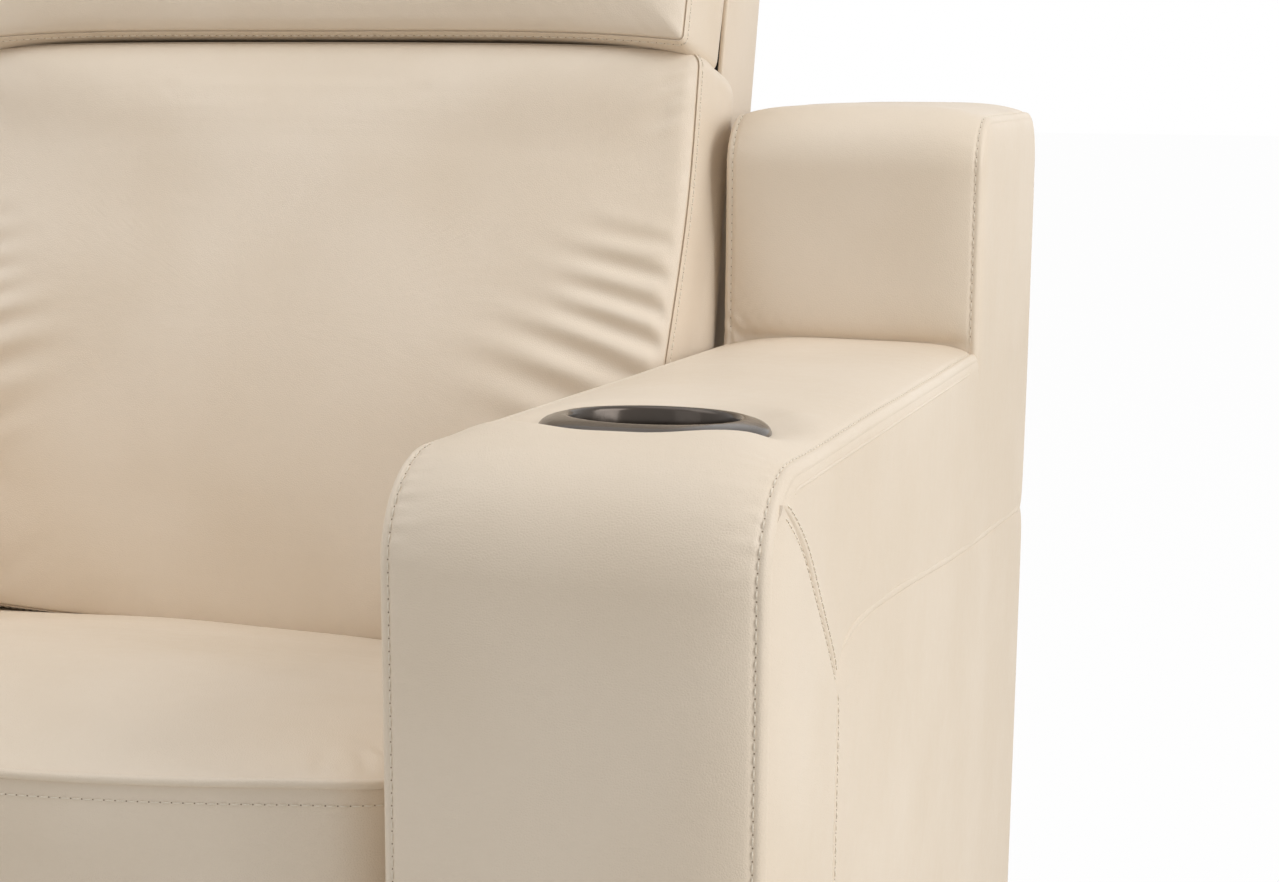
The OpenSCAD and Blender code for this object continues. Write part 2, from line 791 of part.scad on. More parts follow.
module zigzag(pitch, amp) {
    for (i = [0:spring_turns - 1])
        translate([-amp, pitch * (i + 0.5) - spring_w / 2])
            square([2 * amp, spring_w]);
    for (i = [-1:spring_turns - 1])
        translate([(i % 2 == 0 ? amp : -amp) - spring_w / 2, max(0, pitch * (i + 0.5) - spring_w / 2)])
            square([spring_w, i < 0 || i == spring_turns - 1 ? (pitch + spring_w) / 2 : pitch + spring_w]);
}

// Seat cushion: nose boxing, piped front edge, sloping crowned top
nose_r = 13;
nose_z = 332;
seat_y0 = yf + seat_setback;
seat_rear_gap = 10;
seat_y1 = box_y1 - seat_rear_gap;
nose_tuck = 8;
nose_rise = 10;
nose_bulge = 2;
nose_draw = 4;
function seat_station_share() = [0.08, 0.2, 0.36, 0.54, 0.72, 0.88, 1];
seat_under = box_z0 + box_h + fit_gap;
seat_nose_c = [seat_y0 + nose_r, seat_front_z - nose_r];
function seat_line(y) = lerp(seat_front_z, seat_rear_z,
    (y - seat_y0 - nose_r) / (seat_y1 - seat_y0 - nose_r));
seat_outer = concat(
    [[seat_y0 + nose_tuck, nose_z], [seat_y0, nose_z + nose_rise],
        [seat_y0 - nose_bulge, lerp(nose_z, seat_nose_c[1], 0.55)]],
    arc(seat_nose_c, nose_r, 176, 96, 4),
    [for (s = seat_station_share()) let (y = lerp(seat_nose_c[0], seat_y1, s)) [y, seat_line(y)]]);
seat_inner = concat(
    [[seat_y0 + nose_t - nose_draw, nose_z], [seat_y0 + nose_t, nose_z + nose_rise],
        [seat_y0 + nose_t, lerp(nose_z, seat_under, 0.7)]],
    arc([seat_y0 + nose_t + nose_in_r, seat_under - nose_in_r], nose_in_r, 180, 90, 4),
    [for (s = seat_station_share()) [lerp(seat_y0 + nose_t + nose_in_r, seat_y1, s), seat_under]]);
function seat_crown_share() = [0.1, 0.25, 0.3, 0.3, 0.2, 0.15, 0.15, 0.2, 0.55, 0.85, 1, 0.85, 0.5, 0.25, 0.1];

module seat_cushion() {
    color(leather)
        wrap_pad(seat_outer, seat_inner, cushion_half, [for (c = seat_crown_share()) c * seat_crown],
            seam_dip);
}

// Switch on the inside of the right arm: bezel and two rockers
switch_back = 250;
switch_drop = 120;
switch_y = yf + switch_back;
switch_z = arm_rear_z - switch_drop;
rocker_l = 30;
rocker_w = 13;
rocker_t = 9;
rocker_step = 24;
bezel_t = 3;
rocker_pin_r = 1.5;
rocker_tip = 7;
switch_deep = 26;

module switch_bezel() {
    color(plastic)
        difference() {
            union() {
                translate([arm_in - bezel_t - fit_gap, switch_y, switch_z])
                    rotate([0, 90, 0])
                        linear_extrude(height = bezel_t)
                            round_plate(rocker_l + rocker_t, 2 * rocker_step + rocker_t, rocker_t);
                block([arm_in - fit_gap, switch_y - rocker_step - rocker_t + bezel_t,
                    switch_z - rocker_l / 2 - bezel_t],
                    [arm_in + switch_deep, switch_y + rocker_step + rocker_t - bezel_t,
                    switch_z + rocker_l / 2 + bezel_t]);
            }
            for (s = [-1, 1]) {
                block([arm_in - 2 * bezel_t, switch_y + s * rocker_step / 2 - rocker_w / 2 - fit_gap,
                    switch_z - rocker_l / 2 - fit_gap],
                    [arm_in + switch_deep - bezel_t,
                        switch_y + s * rocker_step / 2 + rocker_w / 2 + fit_gap,
                    switch_z + rocker_l / 2 + fit_gap]);
                translate([arm_in + rocker_t / 2,
                    switch_y + s * rocker_step / 2 - rocker_w / 2 - bezel_t, switch_z])
                    rotate([-90, 0, 0])
                        cylinder(h = rocker_w + 2 * bezel_t, r = rocker_pin_r + run_gap);
            }
        }
}

module round_plate(a, b, r) {
    square([a - 2 * r, b], center = true);
    square([a, b - 2 * r], center = true);
    for (i = [-1, 1])
        for (j = [-1, 1])
            translate([i * (a / 2 - r), j * (b / 2 - r)])
                circle(r = r);
}

// Rocker key: a shallow roof shape on its own pivot pin
module rocker_at(s) {
    y0 = switch_y + s * rocker_step / 2 - rocker_w / 2;
    color(plastic) {
        translate([arm_in + rocker_t / 2, y0, switch_z])
            rotate([90, 0, 180])
                mirror([1, 0, 0])
                    linear_extrude(height = rocker_w)
                        rocker_shape();
        translate([arm_in + rocker_t / 2, y0 - bezel_t / 2, switch_z])
            rotate([-90, 0, 0])
                cylinder(h = rocker_w + bezel_t, r = rocker_pin_r);
    }
}

module rocker_shape() {
    h = rocker_l / 2 - bezel_t / 2;
    polygon([[-rocker_t / 2 - bezel_t - fit_gap, 0], [-rocker_t / 2 - rocker_tip, h * 0.75],
        [-rocker_t / 2 - rocker_tip + bezel_t / 2, h], [rocker_t / 4, h * 0.8], [rocker_t / 2, 0],
        [rocker_t / 4, -h * 0.8], [-rocker_t / 2 - rocker_tip + bezel_t / 2, -h],
        [-rocker_t / 2 - rocker_tip, -h * 0.75]]);
}

module back_rocker() {
    rocker_at(1);
}

module footrest_rocker() {
    rocker_at(-1);
}

// Drive control box on the rear tie, with the low-voltage inlet beside it
ctrl_l = 120;
ctrl_w = 70;
ctrl_h = 28;
inlet_w = 26;
inlet_d = 34;
inlet_pin_r = 4;
tie_top = rail_z + rail_w;

module control_box() {
    color(plastic) {
        block([-ctrl_l / 2, tie_y[1] - ctrl_w / 2, tie_top + fit_gap],
            [ctrl_l / 2, tie_y[1] + ctrl_w / 2, tie_top + fit_gap + ctrl_h]);
        for (s = [-1, 1])
            block([s * ctrl_l / 2 - inlet_w / 2, tie_y[1] - ctrl_w / 6, tie_top + fit_gap],
                [s * ctrl_l / 2 + inlet_w / 2, tie_y[1] + ctrl_w / 6, tie_top + fit_gap + bezel_t]);
    }
}

module power_inlet() {
    color(plastic)
        translate([ctrl_l, tie_y[1], tie_top + fit_gap])
            difference() {
                translate([-inlet_w / 2, -inlet_d / 2, 0])
                    cube([inlet_w, inlet_d, inlet_w]);
                for (s = [-1, 1])
                    translate([s * inlet_w / 5, inlet_d / 2 - 2 * inlet_d / 3, inlet_w / 2])
                        rotate([-90, 0, 0])
                            cylinder(h = inlet_d, r = inlet_pin_r / 2);
            }
}

// Linear drive: motor, gear head, guide tube and rear eye. Local +Y runs along the rod
motor_r = 24;
motor_l = 96;
head_s = 56;
guide_s = 34;
guide_l = 190;
eye_l = 26;
rod_r = 9;
rod_in = 120;

module drive_body(l) {
    difference() {
        union() {
            translate([-head_s / 2, eye_l, -head_s / 2])
                cube([head_s, head_s, head_s]);
            translate([-guide_s / 2, eye_l + head_s - fit_gap, -guide_s / 2])
                cube([guide_s, l, guide_s]);
            translate([0, eye_l + head_s / 2, -head_s / 2 - motor_l + plate_t])
                cylinder(h = motor_l, r = motor_r);
            rotate([0, 90, 0])
                translate([0, 0, -clevis_gap / 2 + fit_gap])
                    cylinder(h = clevis_gap - 2 * fit_gap, r = tube_r - fit_gap);
            translate([fit_gap - clevis_gap / 2, 0, -tube_r / 2])
                cube([clevis_gap - 2 * fit_gap, eye_l + plate_t, tube_r]);
        }
        translate([-clevis_gap, 0, 0])
            rotate([0, 90, 0])
                cylinder(h = 2 * clevis_gap, r = pin_r + fit_gap);
        translate([0, eye_l + head_s - rod_in / 4, 0])
            rotate([-90, 0, 0])
                cylinder(h = l + head_s, r = rod_r + run_gap);
    }
    bar(-clevis_gap / 2 - 2 * plate_t, 0, 0, clevis_gap + 4 * plate_t, pin_r);
}

// Rod with an eye pin across its end, reaching from the given depth to the pin
module drive_rod(l) {
    rotate([-90, 0, 0])
        cylinder(h = l - tube_r, r = rod_r);
    translate([-clevis_gap / 4, l - tube_r - plate_t, -rod_r])
        cube([clevis_gap / 2, 2 * tube_r - plate_t, 2 * rod_r]);
    bar(-clevis_gap / 2 - plate_t - layer_gap, l, 0, clevis_gap + 2 * plate_t + 2 * layer_gap, pin_r);
}

foot_motor_y = cross_y[1];
back_motor_y = cross_y[0];
foot_guide = foot_motor_y - foot_pin[0] - eye_l - head_s - tube_r - 2 * plate_t;
back_guide = back_pin[0] - back_motor_y - eye_l - head_s - tube_r - 2 * plate_t
    - 2 * back_lever_l * tan(back_swing / 2);

module footrest_motor() {
    color(plastic)
        translate([lever_off, foot_motor_y, foot_pin[1]])
            rotate([0, 0, 180])
                drive_body(foot_guide);
}

module footrest_motor_rod() {
    color(bright)
        translate([lever_off, foot_pin[0] + rod_in, foot_pin[1]])
            rotate([0, 0, 180])
                drive_rod(rod_in);
}

module recline_motor() {
    color(plastic)
        translate([back_lever_off, back_motor_y, back_pin[1]])
            drive_body(back_guide);
}

module recline_motor_rod() {
    color(bright)
        translate([back_lever_off, back_pin[0] - rod_in, back_pin[1]])
            drive_rod(rod_in);
}

// Slotted lever from a shaft's centre toward a drive rod's pin
module lever_pair(c, pin, x) {
    v = pin - c;
    l = norm(v);
    a = atan2(v[1], v[0]);
    for (s = [-1, 1])
        translate([x + s * (clevis_gap + plate_t) / 2 - plate_t / 2, c[0], c[1]])
            rotate([a, 0, 0])
                difference() {
                    union() {
                        translate([0, 0, layer_gap / 2 - tube_r])
                            cube([plate_t, l, 2 * tube_r - layer_gap]);
                        bar(0, l, 0, plate_t, tube_r);
                    }
                    bar(-plate_t, 0, 0, 3 * plate_t, tube_r - tube_wall / 2);
                    translate([-plate_t, l - slot_more - pin_r, -pin_r - slot_play])
                        cube([3 * plate_t, slot_more + 2 * pin_r + slot_play, 2 * (pin_r + slot_play)]);
                }
}

// Driven scissor links with their torque tube and lever
module footrest_drive_links() {
    color(steel) {
        both() {
            link_bar(piv_o, piv_a2, lay1, link_w, plate_t, 0, 0);
            rivet(piv_m1, lay2, lay1 + plate_t, rivet_r);
            rivet(piv_a2, lay2, lay1 + plate_t, rivet_r);
            bar(lay1, piv_o[0], piv_o[1], plate_in + plate_t - lay1, shaft_r);
        }
        difference() {
            bar(-lay1 - plate_t, piv_o[0], piv_o[1], 2 * (lay1 + plate_t), tube_r);
            bar(-lay1, piv_o[0], piv_o[1], 2 * lay1, tube_r - tube_wall);
        }
        lever_pair(piv_o, foot_pin, lever_off);
    }
}

module footrest_cross_links() {
    color(steel)
        both() {
            difference() {
                link_bar(piv_s, piv_b2, lay2, link_w, plate_t, 0, 0);
                bar(lay2 - plate_t, piv_m1[0], piv_m1[1], 3 * plate_t, rivet_r + run_gap);
            }
            bar(lay2, piv_s[0], piv_s[1], plate_in + plate_t - lay2, rivet_r);
            bar(lay2, piv_b2[0], piv_b2[1], lay1 + plate_t - lay2, rivet_r);
        }
}

module footrest_upper_links() {
    color(steel)
        both() {
            link_bar(piv_a2, piv_c2, lay2, link_w, plate_t, rivet_r + run_gap, 0);
            bar(lay2, piv_m2[0], piv_m2[1], lay1 + plate_t - lay2, rivet_r);
            rivet(piv_c2, lay3, lay2 + plate_t, rivet_r);
        }
}

module footrest_lower_links() {
    color(steel)
        both() {
            difference() {
                link_bar(piv_b2, piv_d2, lay1, link_w, plate_t, rivet_r + run_gap, 0);
                bar(lay1 - plate_t, piv_m2[0], piv_m2[1], 3 * plate_t, rivet_r + run_gap);
            }
            rivet(piv_d2, lay3, lay1 + plate_t, rivet_r);
        }
}

// Brackets between the scissor and the board, slotted for the lower rivets
module footrest_brackets() {
    color(steel)
        both() {
            difference() {
                union() {
                    link_bar(piv_c2, piv_d2, lay3, link_w + plate_t, plate_t, 0, 0);
                    bar(lay3, piv_f[0], piv_f[1], plate_t, ear_r);
                    translate([lay3, piv_f[0], piv_f[1]])
                        rotate([atan2(piv_c2[1] - piv_f[1], piv_c2[0] - piv_f[0]), 0, 0])
                            translate([web_inset, 0, layer_gap / 4 - ear_r])
                                cube([plate_t - 2 * web_inset, norm(piv_c2 - piv_f),
                                    2 * ear_r - layer_gap / 2]);
                }
                bar(lay3 - plate_t, piv_c2[0], piv_c2[1], 3 * plate_t, rivet_r + run_gap);
                slot_cut(lay3 - plate_t, piv_c2 + [0, -drop_out], piv_d2, 3 * plate_t);
            }
            bar(lay4 - layer_gap, piv_f[0], piv_f[1], lay3 + plate_t - lay4 + layer_gap, rivet_r - head_t);
        }
}

board_back = piv_f[0] - ear_r - fit_gap - head_t / 2;
board_top = piv_f[1] + foot_top_over;
module footrest_board() {
    half = cushion_half - board_t;
    y0 = board_back - foot_board_t;
    color(ply)
        block([-half, y0, board_top - foot_pad_h + board_t], [half, board_back, board_top]);
    color(steel)
        both()
            difference() {
                union() {
                    bar(lay4, piv_f[0], piv_f[1], plate_t, ear_r);
                    block([lay4, board_back + fit_gap, piv_f[1] - 3 * ear_r], [lay4 + plate_t, piv_f[0],
                        piv_f[1]]);
                    block([lay4 - link_w, board_back, piv_f[1] - 5 * ear_r],
                        [lay4 + plate_t, board_back + plate_t / 2, piv_f[1] - ear_r]);
                }
                bar(lay4 - plate_t, piv_f[0], piv_f[1], 3 * plate_t, rivet_r - head_t + run_gap);
            }
}

// Footrest pad, built lying down and stood up in front of its board
module footrest_pad() {
    t = board_back - foot_board_t - fit_gap - foot_front;
    color(leather)
        translate([0, board_back - foot_board_t - fit_gap, board_top - foot_pad_h / 2])
            rotate([90, 0, 0])
                cushion(2 * cushion_half, foot_pad_h, t, seat_crown / 2, foot_corner_r, foot_bow);
}

// Back parts are drawn upright about the hinge and leaned by the rake
module leaned() {
    translate([0, hinge_yy, hinge_z])
        rotate([-rake, 0, 0])
            children();
}

upright_w = 25;
shell_t = 8;
shell_half_w = arm_in - shell_gap;
upright_gap = 1;
upright_in_w = shell_half_w - shell_t / 2 - upright_w - upright_gap;
frame_d = 40;
frame_front_d = -6;
frame_low_h = -16;
shell_drop = 22;
frame_drop = 43;
frame_high_h = head_high_h - shell_drop - frame_drop;
frame_tie0 = 60;
frame_tie1 = 370;
head_rail_gap = 30.5;
web_t = 2.5;
web_w = 50;

module back_frame() {
    color(steel) {
        leaned() {
            both() {
                difference() {
                    block([upright_in_w, frame_front_d - frame_d, frame_low_h],
                        [upright_in_w + upright_w, frame_front_d, frame_high_h]);
                    block([upright_in_w + tube_wall, frame_front_d - frame_d + tube_wall, 2 * tube_r],
                        [upright_in_w + upright_w - tube_wall, frame_front_d - tube_wall,
                            frame_high_h + tube_wall]);
                    bar(upright_in_w - tube_wall, 0, 0, 2 * upright_w, shaft_r + run_gap);
                }
                difference() {
                    bar(upright_in_w + upright_w - fit_gap, 0, 0,
                        lay1 - upright_in_w - upright_w + plate_t + fit_gap, tube_r);
                    bar(upright_in_w, 0, 0, 2 * upright_w, shaft_r + run_gap);
                }
            }
            for (t = [frame_tie0, frame_tie1, frame_high_h - upright_w])
                block([-upright_in_w - tube_wall, frame_front_d - frame_d + tube_wall, t],
                    [upright_in_w + tube_wall, frame_front_d - tube_wall, t + upright_w]);
            block([-upright_in_w - tube_wall, frame_front_d - frame_d + web_inset,
                head_hinge_h + head_rail_gap],
                [upright_in_w + tube_wall, frame_front_d - tube_wall,
                    head_hinge_h + head_rail_gap + upright_w]);
        }
        difference() {
            bar(-upright_in_w - tube_wall, hinge_yy, hinge_z, 2 * (upright_in_w + tube_wall), tube_r);
            bar(-upright_in_w - upright_w, hinge_yy, hinge_z, 2 * (upright_in_w + upright_w),
                tube_r - tube_wall);
        }
        lever_pair([hinge_yy, hinge_z], back_pin, back_lever_off);
    }
}

// Elastic straps across the back frame
module back_webbing() {
    n = frame_front_d - frame_d - fit_gap - web_t;
    color(cloth)
        leaned()
            for (k = [0:5]) {
                t = lerp(back_low_h + web_w / 2, back_high_h - 3 * web_w / 2, k / 5);
                block([-upright_in_w - upright_w + fit_gap, n, t],
                    [upright_in_w + upright_w - fit_gap, n + web_t, t + web_w]);
            }
}

// Moulded outer shell of the back: rear wall, side wings and a closed top
shell_rear_d = 54;
shell_front_d = -50;
shell_low_h = -30;
shell_high_h = head_high_h - shell_drop;
shell_r = 30;
module back_shell() {
    color(leather_low)
        leaned()
            difference() {
                translate([0, 0, shell_low_h])
                    linear_extrude(height = shell_high_h - shell_low_h)
                        shell_shape(shell_half_w, shell_rear_d, shell_r);
                translate([0, 0, shell_low_h - shell_t])
                    linear_extrude(height = shell_high_h - shell_low_h)
                        shell_shape(shell_half_w - shell_t / 2, shell_rear_d - shell_t, shell_r - shell_t);
                bar(-shell_half_w - shell_t, 0, 0, 2 * (shell_half_w + shell_t), tube_r + fit_gap);
            }
}

module shell_shape(hw, rear, r) {
    translate([-hw, shell_front_d])
        square([2 * hw, rear - shell_front_d - r]);
    translate([r - hw, shell_front_d])
        square([2 * (hw - r), rear - shell_front_d]);
    for (s = [-1, 1])
        translate([s * (hw - r), rear - r])
            circle(r = r);
}

back_corner_r = 32;
back_bow = 3;

// Back cushion, built lying down, leaned up against the webbing
module back_cushion() {
    n = frame_front_d - frame_d - 2 * fit_gap - web_t;
    color(leather)
        leaned()
            translate([0, n, (back_low_h + back_high_h) / 2])
                rotate([90, 0, 0])
                    cushion(2 * cushion_half, back_high_h - back_low_h, back_face_d + n, back_crown,
                        back_corner_r, back_bow);
}

// Headrest on a hinge strip in the gap over the back cushion
head_gap = 11;
head_side = 4;
head_corner_r = 30;
head_bow = 2;
head_set_d = 24;
head_hinge_d = head_set_d - back_face_d;
head_low_h = back_high_h + head_gap;
barrel_r = 4;
strip_t = 2.6;
strip_out = 150;
strip_x = [-strip_out, strip_out];
strip_w = 44;
head_hinge_h = back_high_h + head_gap / 2;
plate_gap = 4;
head_plate_d = frame_front_d - frame_d - plate_gap;
plate_h = 190;

module headrest_hinge_bracket() {
    color(steel)
        leaned()
            for (x = strip_x) {
                difference() {
                    union() {
                        block([x - strip_w / 2, head_hinge_d, head_hinge_h - barrel_r],
                            [x + strip_w / 2, frame_front_d - frame_d - fit_gap,
                            head_hinge_h - barrel_r + strip_t]);
                        block([x - strip_w / 2, frame_front_d - frame_d - fit_gap - strip_t,
                            head_hinge_h - barrel_r],
                            [x + strip_w / 2, frame_front_d - frame_d - fit_gap,
                                head_hinge_h + 2 * strip_w]);
                        bar(x - strip_w / 2, head_hinge_d, head_hinge_h, strip_w / 3 - fit_gap, barrel_r);
                        bar(x + strip_w / 6 + fit_gap, head_hinge_d, head_hinge_h, strip_w / 3 - fit_gap,
                            barrel_r);
                    }
                    block([x - strip_w / 6 - fit_gap, head_hinge_d - 2 * barrel_r,
                        head_hinge_h - 2 * barrel_r],
                        [x + strip_w / 6 + fit_gap, head_hinge_d + barrel_r + head_t,
                            head_hinge_h + barrel_r]);
                }
                bar(x - strip_w / 2, head_hinge_d, head_hinge_h, strip_w, barrel_r / 2);
            }
}

module headrest_plate() {
    color(steel)
        leaned() {
            for (x = strip_x)
                difference() {
                    union() {
                        bar(x - strip_w / 6, head_hinge_d, head_hinge_h, strip_w / 3, barrel_r);
                        block([x - strip_w / 6, head_hinge_d, head_hinge_h + barrel_r - strip_t],
                            [x + strip_w / 6, head_plate_d,
                            head_hinge_h + barrel_r]);
                    }
                    bar(x - strip_w, head_hinge_d, head_hinge_h, 2 * strip_w, barrel_r / 2 + run_gap);
                }
            block([strip_x[0] - strip_w, head_plate_d - strip_t, head_hinge_h + barrel_r - strip_t],
                [strip_x[1] + strip_w, head_plate_d, head_hinge_h + plate_h]);
        }
}

module headrest_cushion() {
    n = head_plate_d - strip_t - fit_gap;
    h = head_high_h - head_low_h;
    color(leather)
        leaned()
            translate([0, n, (head_low_h + head_high_h) / 2])
                rotate([90, 0, 0])
                    cushion(2 * (cushion_half - head_side), h, back_face_d + head_forward_d + n,
                        head_crown, head_corner_r, head_bow);
}

// The left arm's pieces are the right arm's mirrored
module left() {
    mirror([1, 0, 0])
        children();
}

base_frame();
floor_feet();
mechanism_side_plates();
mechanism_cross_tubes();
back_hinge_bolts();
seat_box();
seat_springs();
seat_bolts();
seat_cushion();
left() arm_frame();  // left_arm_frame
arm_frame();  // right_arm_frame
left() arm_top_pad();  // left_arm_top_pad
arm_top_pad();  // right_arm_top_pad
left() arm_rear_block();  // left_arm_rear_block
arm_rear_block();  // right_arm_rear_block
left() arm_rear_panel();  // left_arm_rear_panel
arm_rear_panel();  // right_arm_rear_panel
left() arm_outer_panel();  // left_arm_outer_panel
arm_outer_panel();  // right_arm_outer_panel
left() arm_front_strip();  // left_arm_front_strip
arm_front_strip();  // right_arm_front_strip
left() arm_inner_panel();  // left_arm_inner_panel
right_arm_inner_panel();
left() cup_holder_ring();  // left_cup_holder_ring
cup_holder_ring();  // right_cup_holder_ring
left() cup_holder_cup();  // left_cup_holder_cup
cup_holder_cup();  // right_cup_holder_cup
arm_bolts();
switch_bezel();
back_rocker();
footrest_rocker();
control_box();
power_inlet();
footrest_motor();
footrest_motor_rod();
recline_motor();
recline_motor_rod();
footrest_drive_links();
footrest_cross_links();
footrest_upper_links();
footrest_lower_links();
footrest_brackets();
footrest_board();
footrest_pad();
back_frame();
back_webbing();
back_shell();
back_cushion();
headrest_hinge_bracket();
headrest_plate();
headrest_cushion();
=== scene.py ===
"""Looks of a cinema recliner seat: leather, seams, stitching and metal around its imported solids."""
import json
import logging
import math
from dataclasses import dataclass, field
from enum import Enum
from typing import Callable, ClassVar, Optional, Sequence

import bmesh
import bpy
import numpy as np
from mathutils import Matrix, Vector
from mathutils.kdtree import KDTree


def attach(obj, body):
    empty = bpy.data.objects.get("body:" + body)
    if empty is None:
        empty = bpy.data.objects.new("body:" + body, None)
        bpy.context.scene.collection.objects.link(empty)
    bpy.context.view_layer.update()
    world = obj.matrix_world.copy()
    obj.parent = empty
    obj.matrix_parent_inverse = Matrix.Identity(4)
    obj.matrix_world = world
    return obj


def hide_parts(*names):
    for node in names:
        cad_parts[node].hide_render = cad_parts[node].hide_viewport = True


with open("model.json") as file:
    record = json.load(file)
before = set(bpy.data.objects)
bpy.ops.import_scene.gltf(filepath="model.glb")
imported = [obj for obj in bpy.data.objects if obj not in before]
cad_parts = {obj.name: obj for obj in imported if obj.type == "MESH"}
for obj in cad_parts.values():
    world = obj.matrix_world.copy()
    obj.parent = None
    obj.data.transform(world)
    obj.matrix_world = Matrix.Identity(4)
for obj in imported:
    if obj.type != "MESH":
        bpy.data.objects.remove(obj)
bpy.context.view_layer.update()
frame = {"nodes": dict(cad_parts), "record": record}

Array = np.ndarray
Node = bpy.types.Node
Socket = bpy.types.NodeSocket
Object = bpy.types.Object
Material = bpy.types.Material

Pair = tuple[float, float]
Triple = tuple[float, float, float]

log = logging.getLogger("recliner")
MM = 0.001
COVER_SHARP_ANGLE = math.radians(55.0)
HARD_SHARP_ANGLE = math.radians(50.0)
STITCH_INSET = 5.6 * MM
TINY = 1e-12
OFF_FACE = -1.0


class Side(Enum):
    """Which arm a piece belongs to, as the sign of its x."""

    LEFT = -1
    RIGHT = 1

    @property
    def word(self) -> str:
        """The side's name as node names spell it."""
        return self.name.lower()


# Curves and easing


def ease(value: Array, low: float, high: float) -> Array:
    """Smooth step from 0 at low to 1 at high.

    Args:
        value: Numbers to map.
        low: Where the step starts.
        high: Where the step ends.

    Returns:
        The eased numbers, from 0 to 1.
    """
    t = np.clip((np.asarray(value, float) - low) / (high - low), 0.0, 1.0)
    return t * t * (3.0 - 2.0 * t)


def bell(value: Array, centre: float, width: float) -> Array:
    """Smooth bump of height 1.

    Args:
        value: Numbers to map.
        centre: Where the bump stands.
        width: Its half width.

    Returns:
        The bump at each number.
    """
    return np.exp(-(((np.asarray(value, float) - centre) / width) ** 2))


def ripples(u: Array, v: Array, length: float, seed: int, count: int = 10) -> Array:
    """Soft irregular waves over a surface, the same on each run.

    Args:
        u: First surface coordinate, in metres.
        v: Second surface coordinate, in metres.
        length: Mean wave length, in metres.
        seed: Chooses the pattern.
        count: How many plain waves are summed.

    Returns:
        A field of about -1 to 1.
    """
    rng = np.random.default_rng(seed)
    total = np.zeros(np.broadcast(u, v).shape)
    for _ in range(count):
        angle = rng.uniform(0.0, math.tau)
        rate = math.tau / length * rng.uniform(0.6, 1.5)
        way = math.cos(angle) * u + math.sin(angle) * v
        total = total + np.cos(rate * way + rng.uniform(0.0, math.tau))
    return total / math.sqrt(2.0 * count)


def stations(start: float, *runs: Pair) -> Array:
    """Stations along a line, closer together where a run asks for it.

    Args:
        start: First station.
        runs: Pairs of a run's end and its spacing.

    Returns:
        All stations in order.
    """
    out = [start]
    for end, gap in runs:
        count = max(1, int(round(abs(end - out[-1]) / gap)))
        out.extend(np.linspace(out[-1], end, count + 1)[1:].tolist())
    return np.array(out)


def edge_stations(half: float, gap: float) -> Array:
    """Stations across a panel, dense beside both borders where seams run.

    Args:
        half: Half the panel's width.
        gap: Spacing in the middle.

    Returns:
        Stations from -half to half.
    """
    near = np.array([0, 0.5, 1.1, 1.8, 2.6, 3.5, 4.4, 5.2, 6.0, 6.8, 7.6, 8.8, 10.5, 12.8, 15.5, 19.0,
                     23.5]) * MM
    inner = half - near[-1] - gap * 0.8
    middle = np.linspace(-inner, inner, max(3, int(round(2 * inner / gap))))
    return np.concatenate([near - half, middle, (half - near)[::-1]])


def smooth_line(points: Sequence[Pair], gap: float) -> Array:
    """Rounded line through points, by a Catmull-Rom spline.

    Args:
        points: The points it passes through.
        gap: Spacing of the result.

    Returns:
        Points along the line.
    """
    p = np.array(points, float)
    ends = np.vstack([2 * p[0] - p[1], p, 2 * p[-1] - p[-2]])
    out = []
    for i in range(1, len(ends) - 2):
        a, b, c, d = ends[i - 1:i + 3]
        count = max(2, int(np.linalg.norm(c - b) / gap))
        for t in np.linspace(0.0, 1.0, count, endpoint=False):
            out.append(0.5 * (2 * b + (c - a) * t + (2 * a - 5 * b + 4 * c - d) * t * t
                              + (3 * b - a - 3 * c + d) * t ** 3))
    out.append(p[-1])
    return np.array(out)


def run_length(points: Array) -> Array:
    """Length along a line up to each of its points."""
    return np.concatenate([[0.0], np.cumsum(np.linalg.norm(np.diff(points, axis=0), axis=1))])


def unit(rows: Array) -> Array:
    """Rows scaled to a length of 1."""
    return rows / np.linalg.norm(rows, axis=1, keepdims=True)


def headings(degrees: Array) -> Array:
    """Directions in the side plane at angles in degrees."""
    return np.stack([np.cos(np.radians(degrees)), np.sin(np.radians(degrees))], axis=1)


def even_line(points: Array, count: int) -> Array:
    """Resample a line to evenly spaced points.

    Args:
        points: The line, as rows.
        count: How many points come out.

    Returns:
        The resampled line.
    """
    length = run_length(points)
    at = np.linspace(0.0, length[-1], count)
    return np.stack([np.interp(at, length, points[:, k]) for k in range(points.shape[1])], axis=1)


def line_gap(points: Array, line: Array) -> Array:
    """Distance of points from a line of segments.

    Args:
        points: Points of shape (..., 2).
        line: The line's points.

    Returns:
        Distances, shaped as the points without their last axis.
    """
    flat = points.reshape(-1, 2)
    a, b = line[:-1], line[1:]
    d = b - a
    size = np.maximum((d * d).sum(1), TINY)
    best = np.full(len(flat), np.inf)
    for i in range(len(a)):
        t = np.clip(((flat - a[i]) @ d[i]) / size[i], 0.0, 1.0)
        gap = np.hypot(flat[:, 0] - a[i, 0] - t * d[i, 0], flat[:, 1] - a[i, 1] - t * d[i, 1])
        best = np.minimum(best, gap)
    return best.reshape(points.shape[:-1])


def arc(centre: Pair, radius: float, start: float, end: float, count: int) -> Array:
    """Points on a circle's arc in the side plane.

    Args:
        centre: Its centre.
        radius: Its radius.
        start: First angle, in degrees.
        end: Last angle, in degrees.
        count: How many points.

    Returns:
        The points.
    """
    a = np.radians(np.linspace(start, end, count))
    return np.stack([centre[0] + radius * np.cos(a), centre[1] + radius * np.sin(a)], axis=1)


# Mesh making


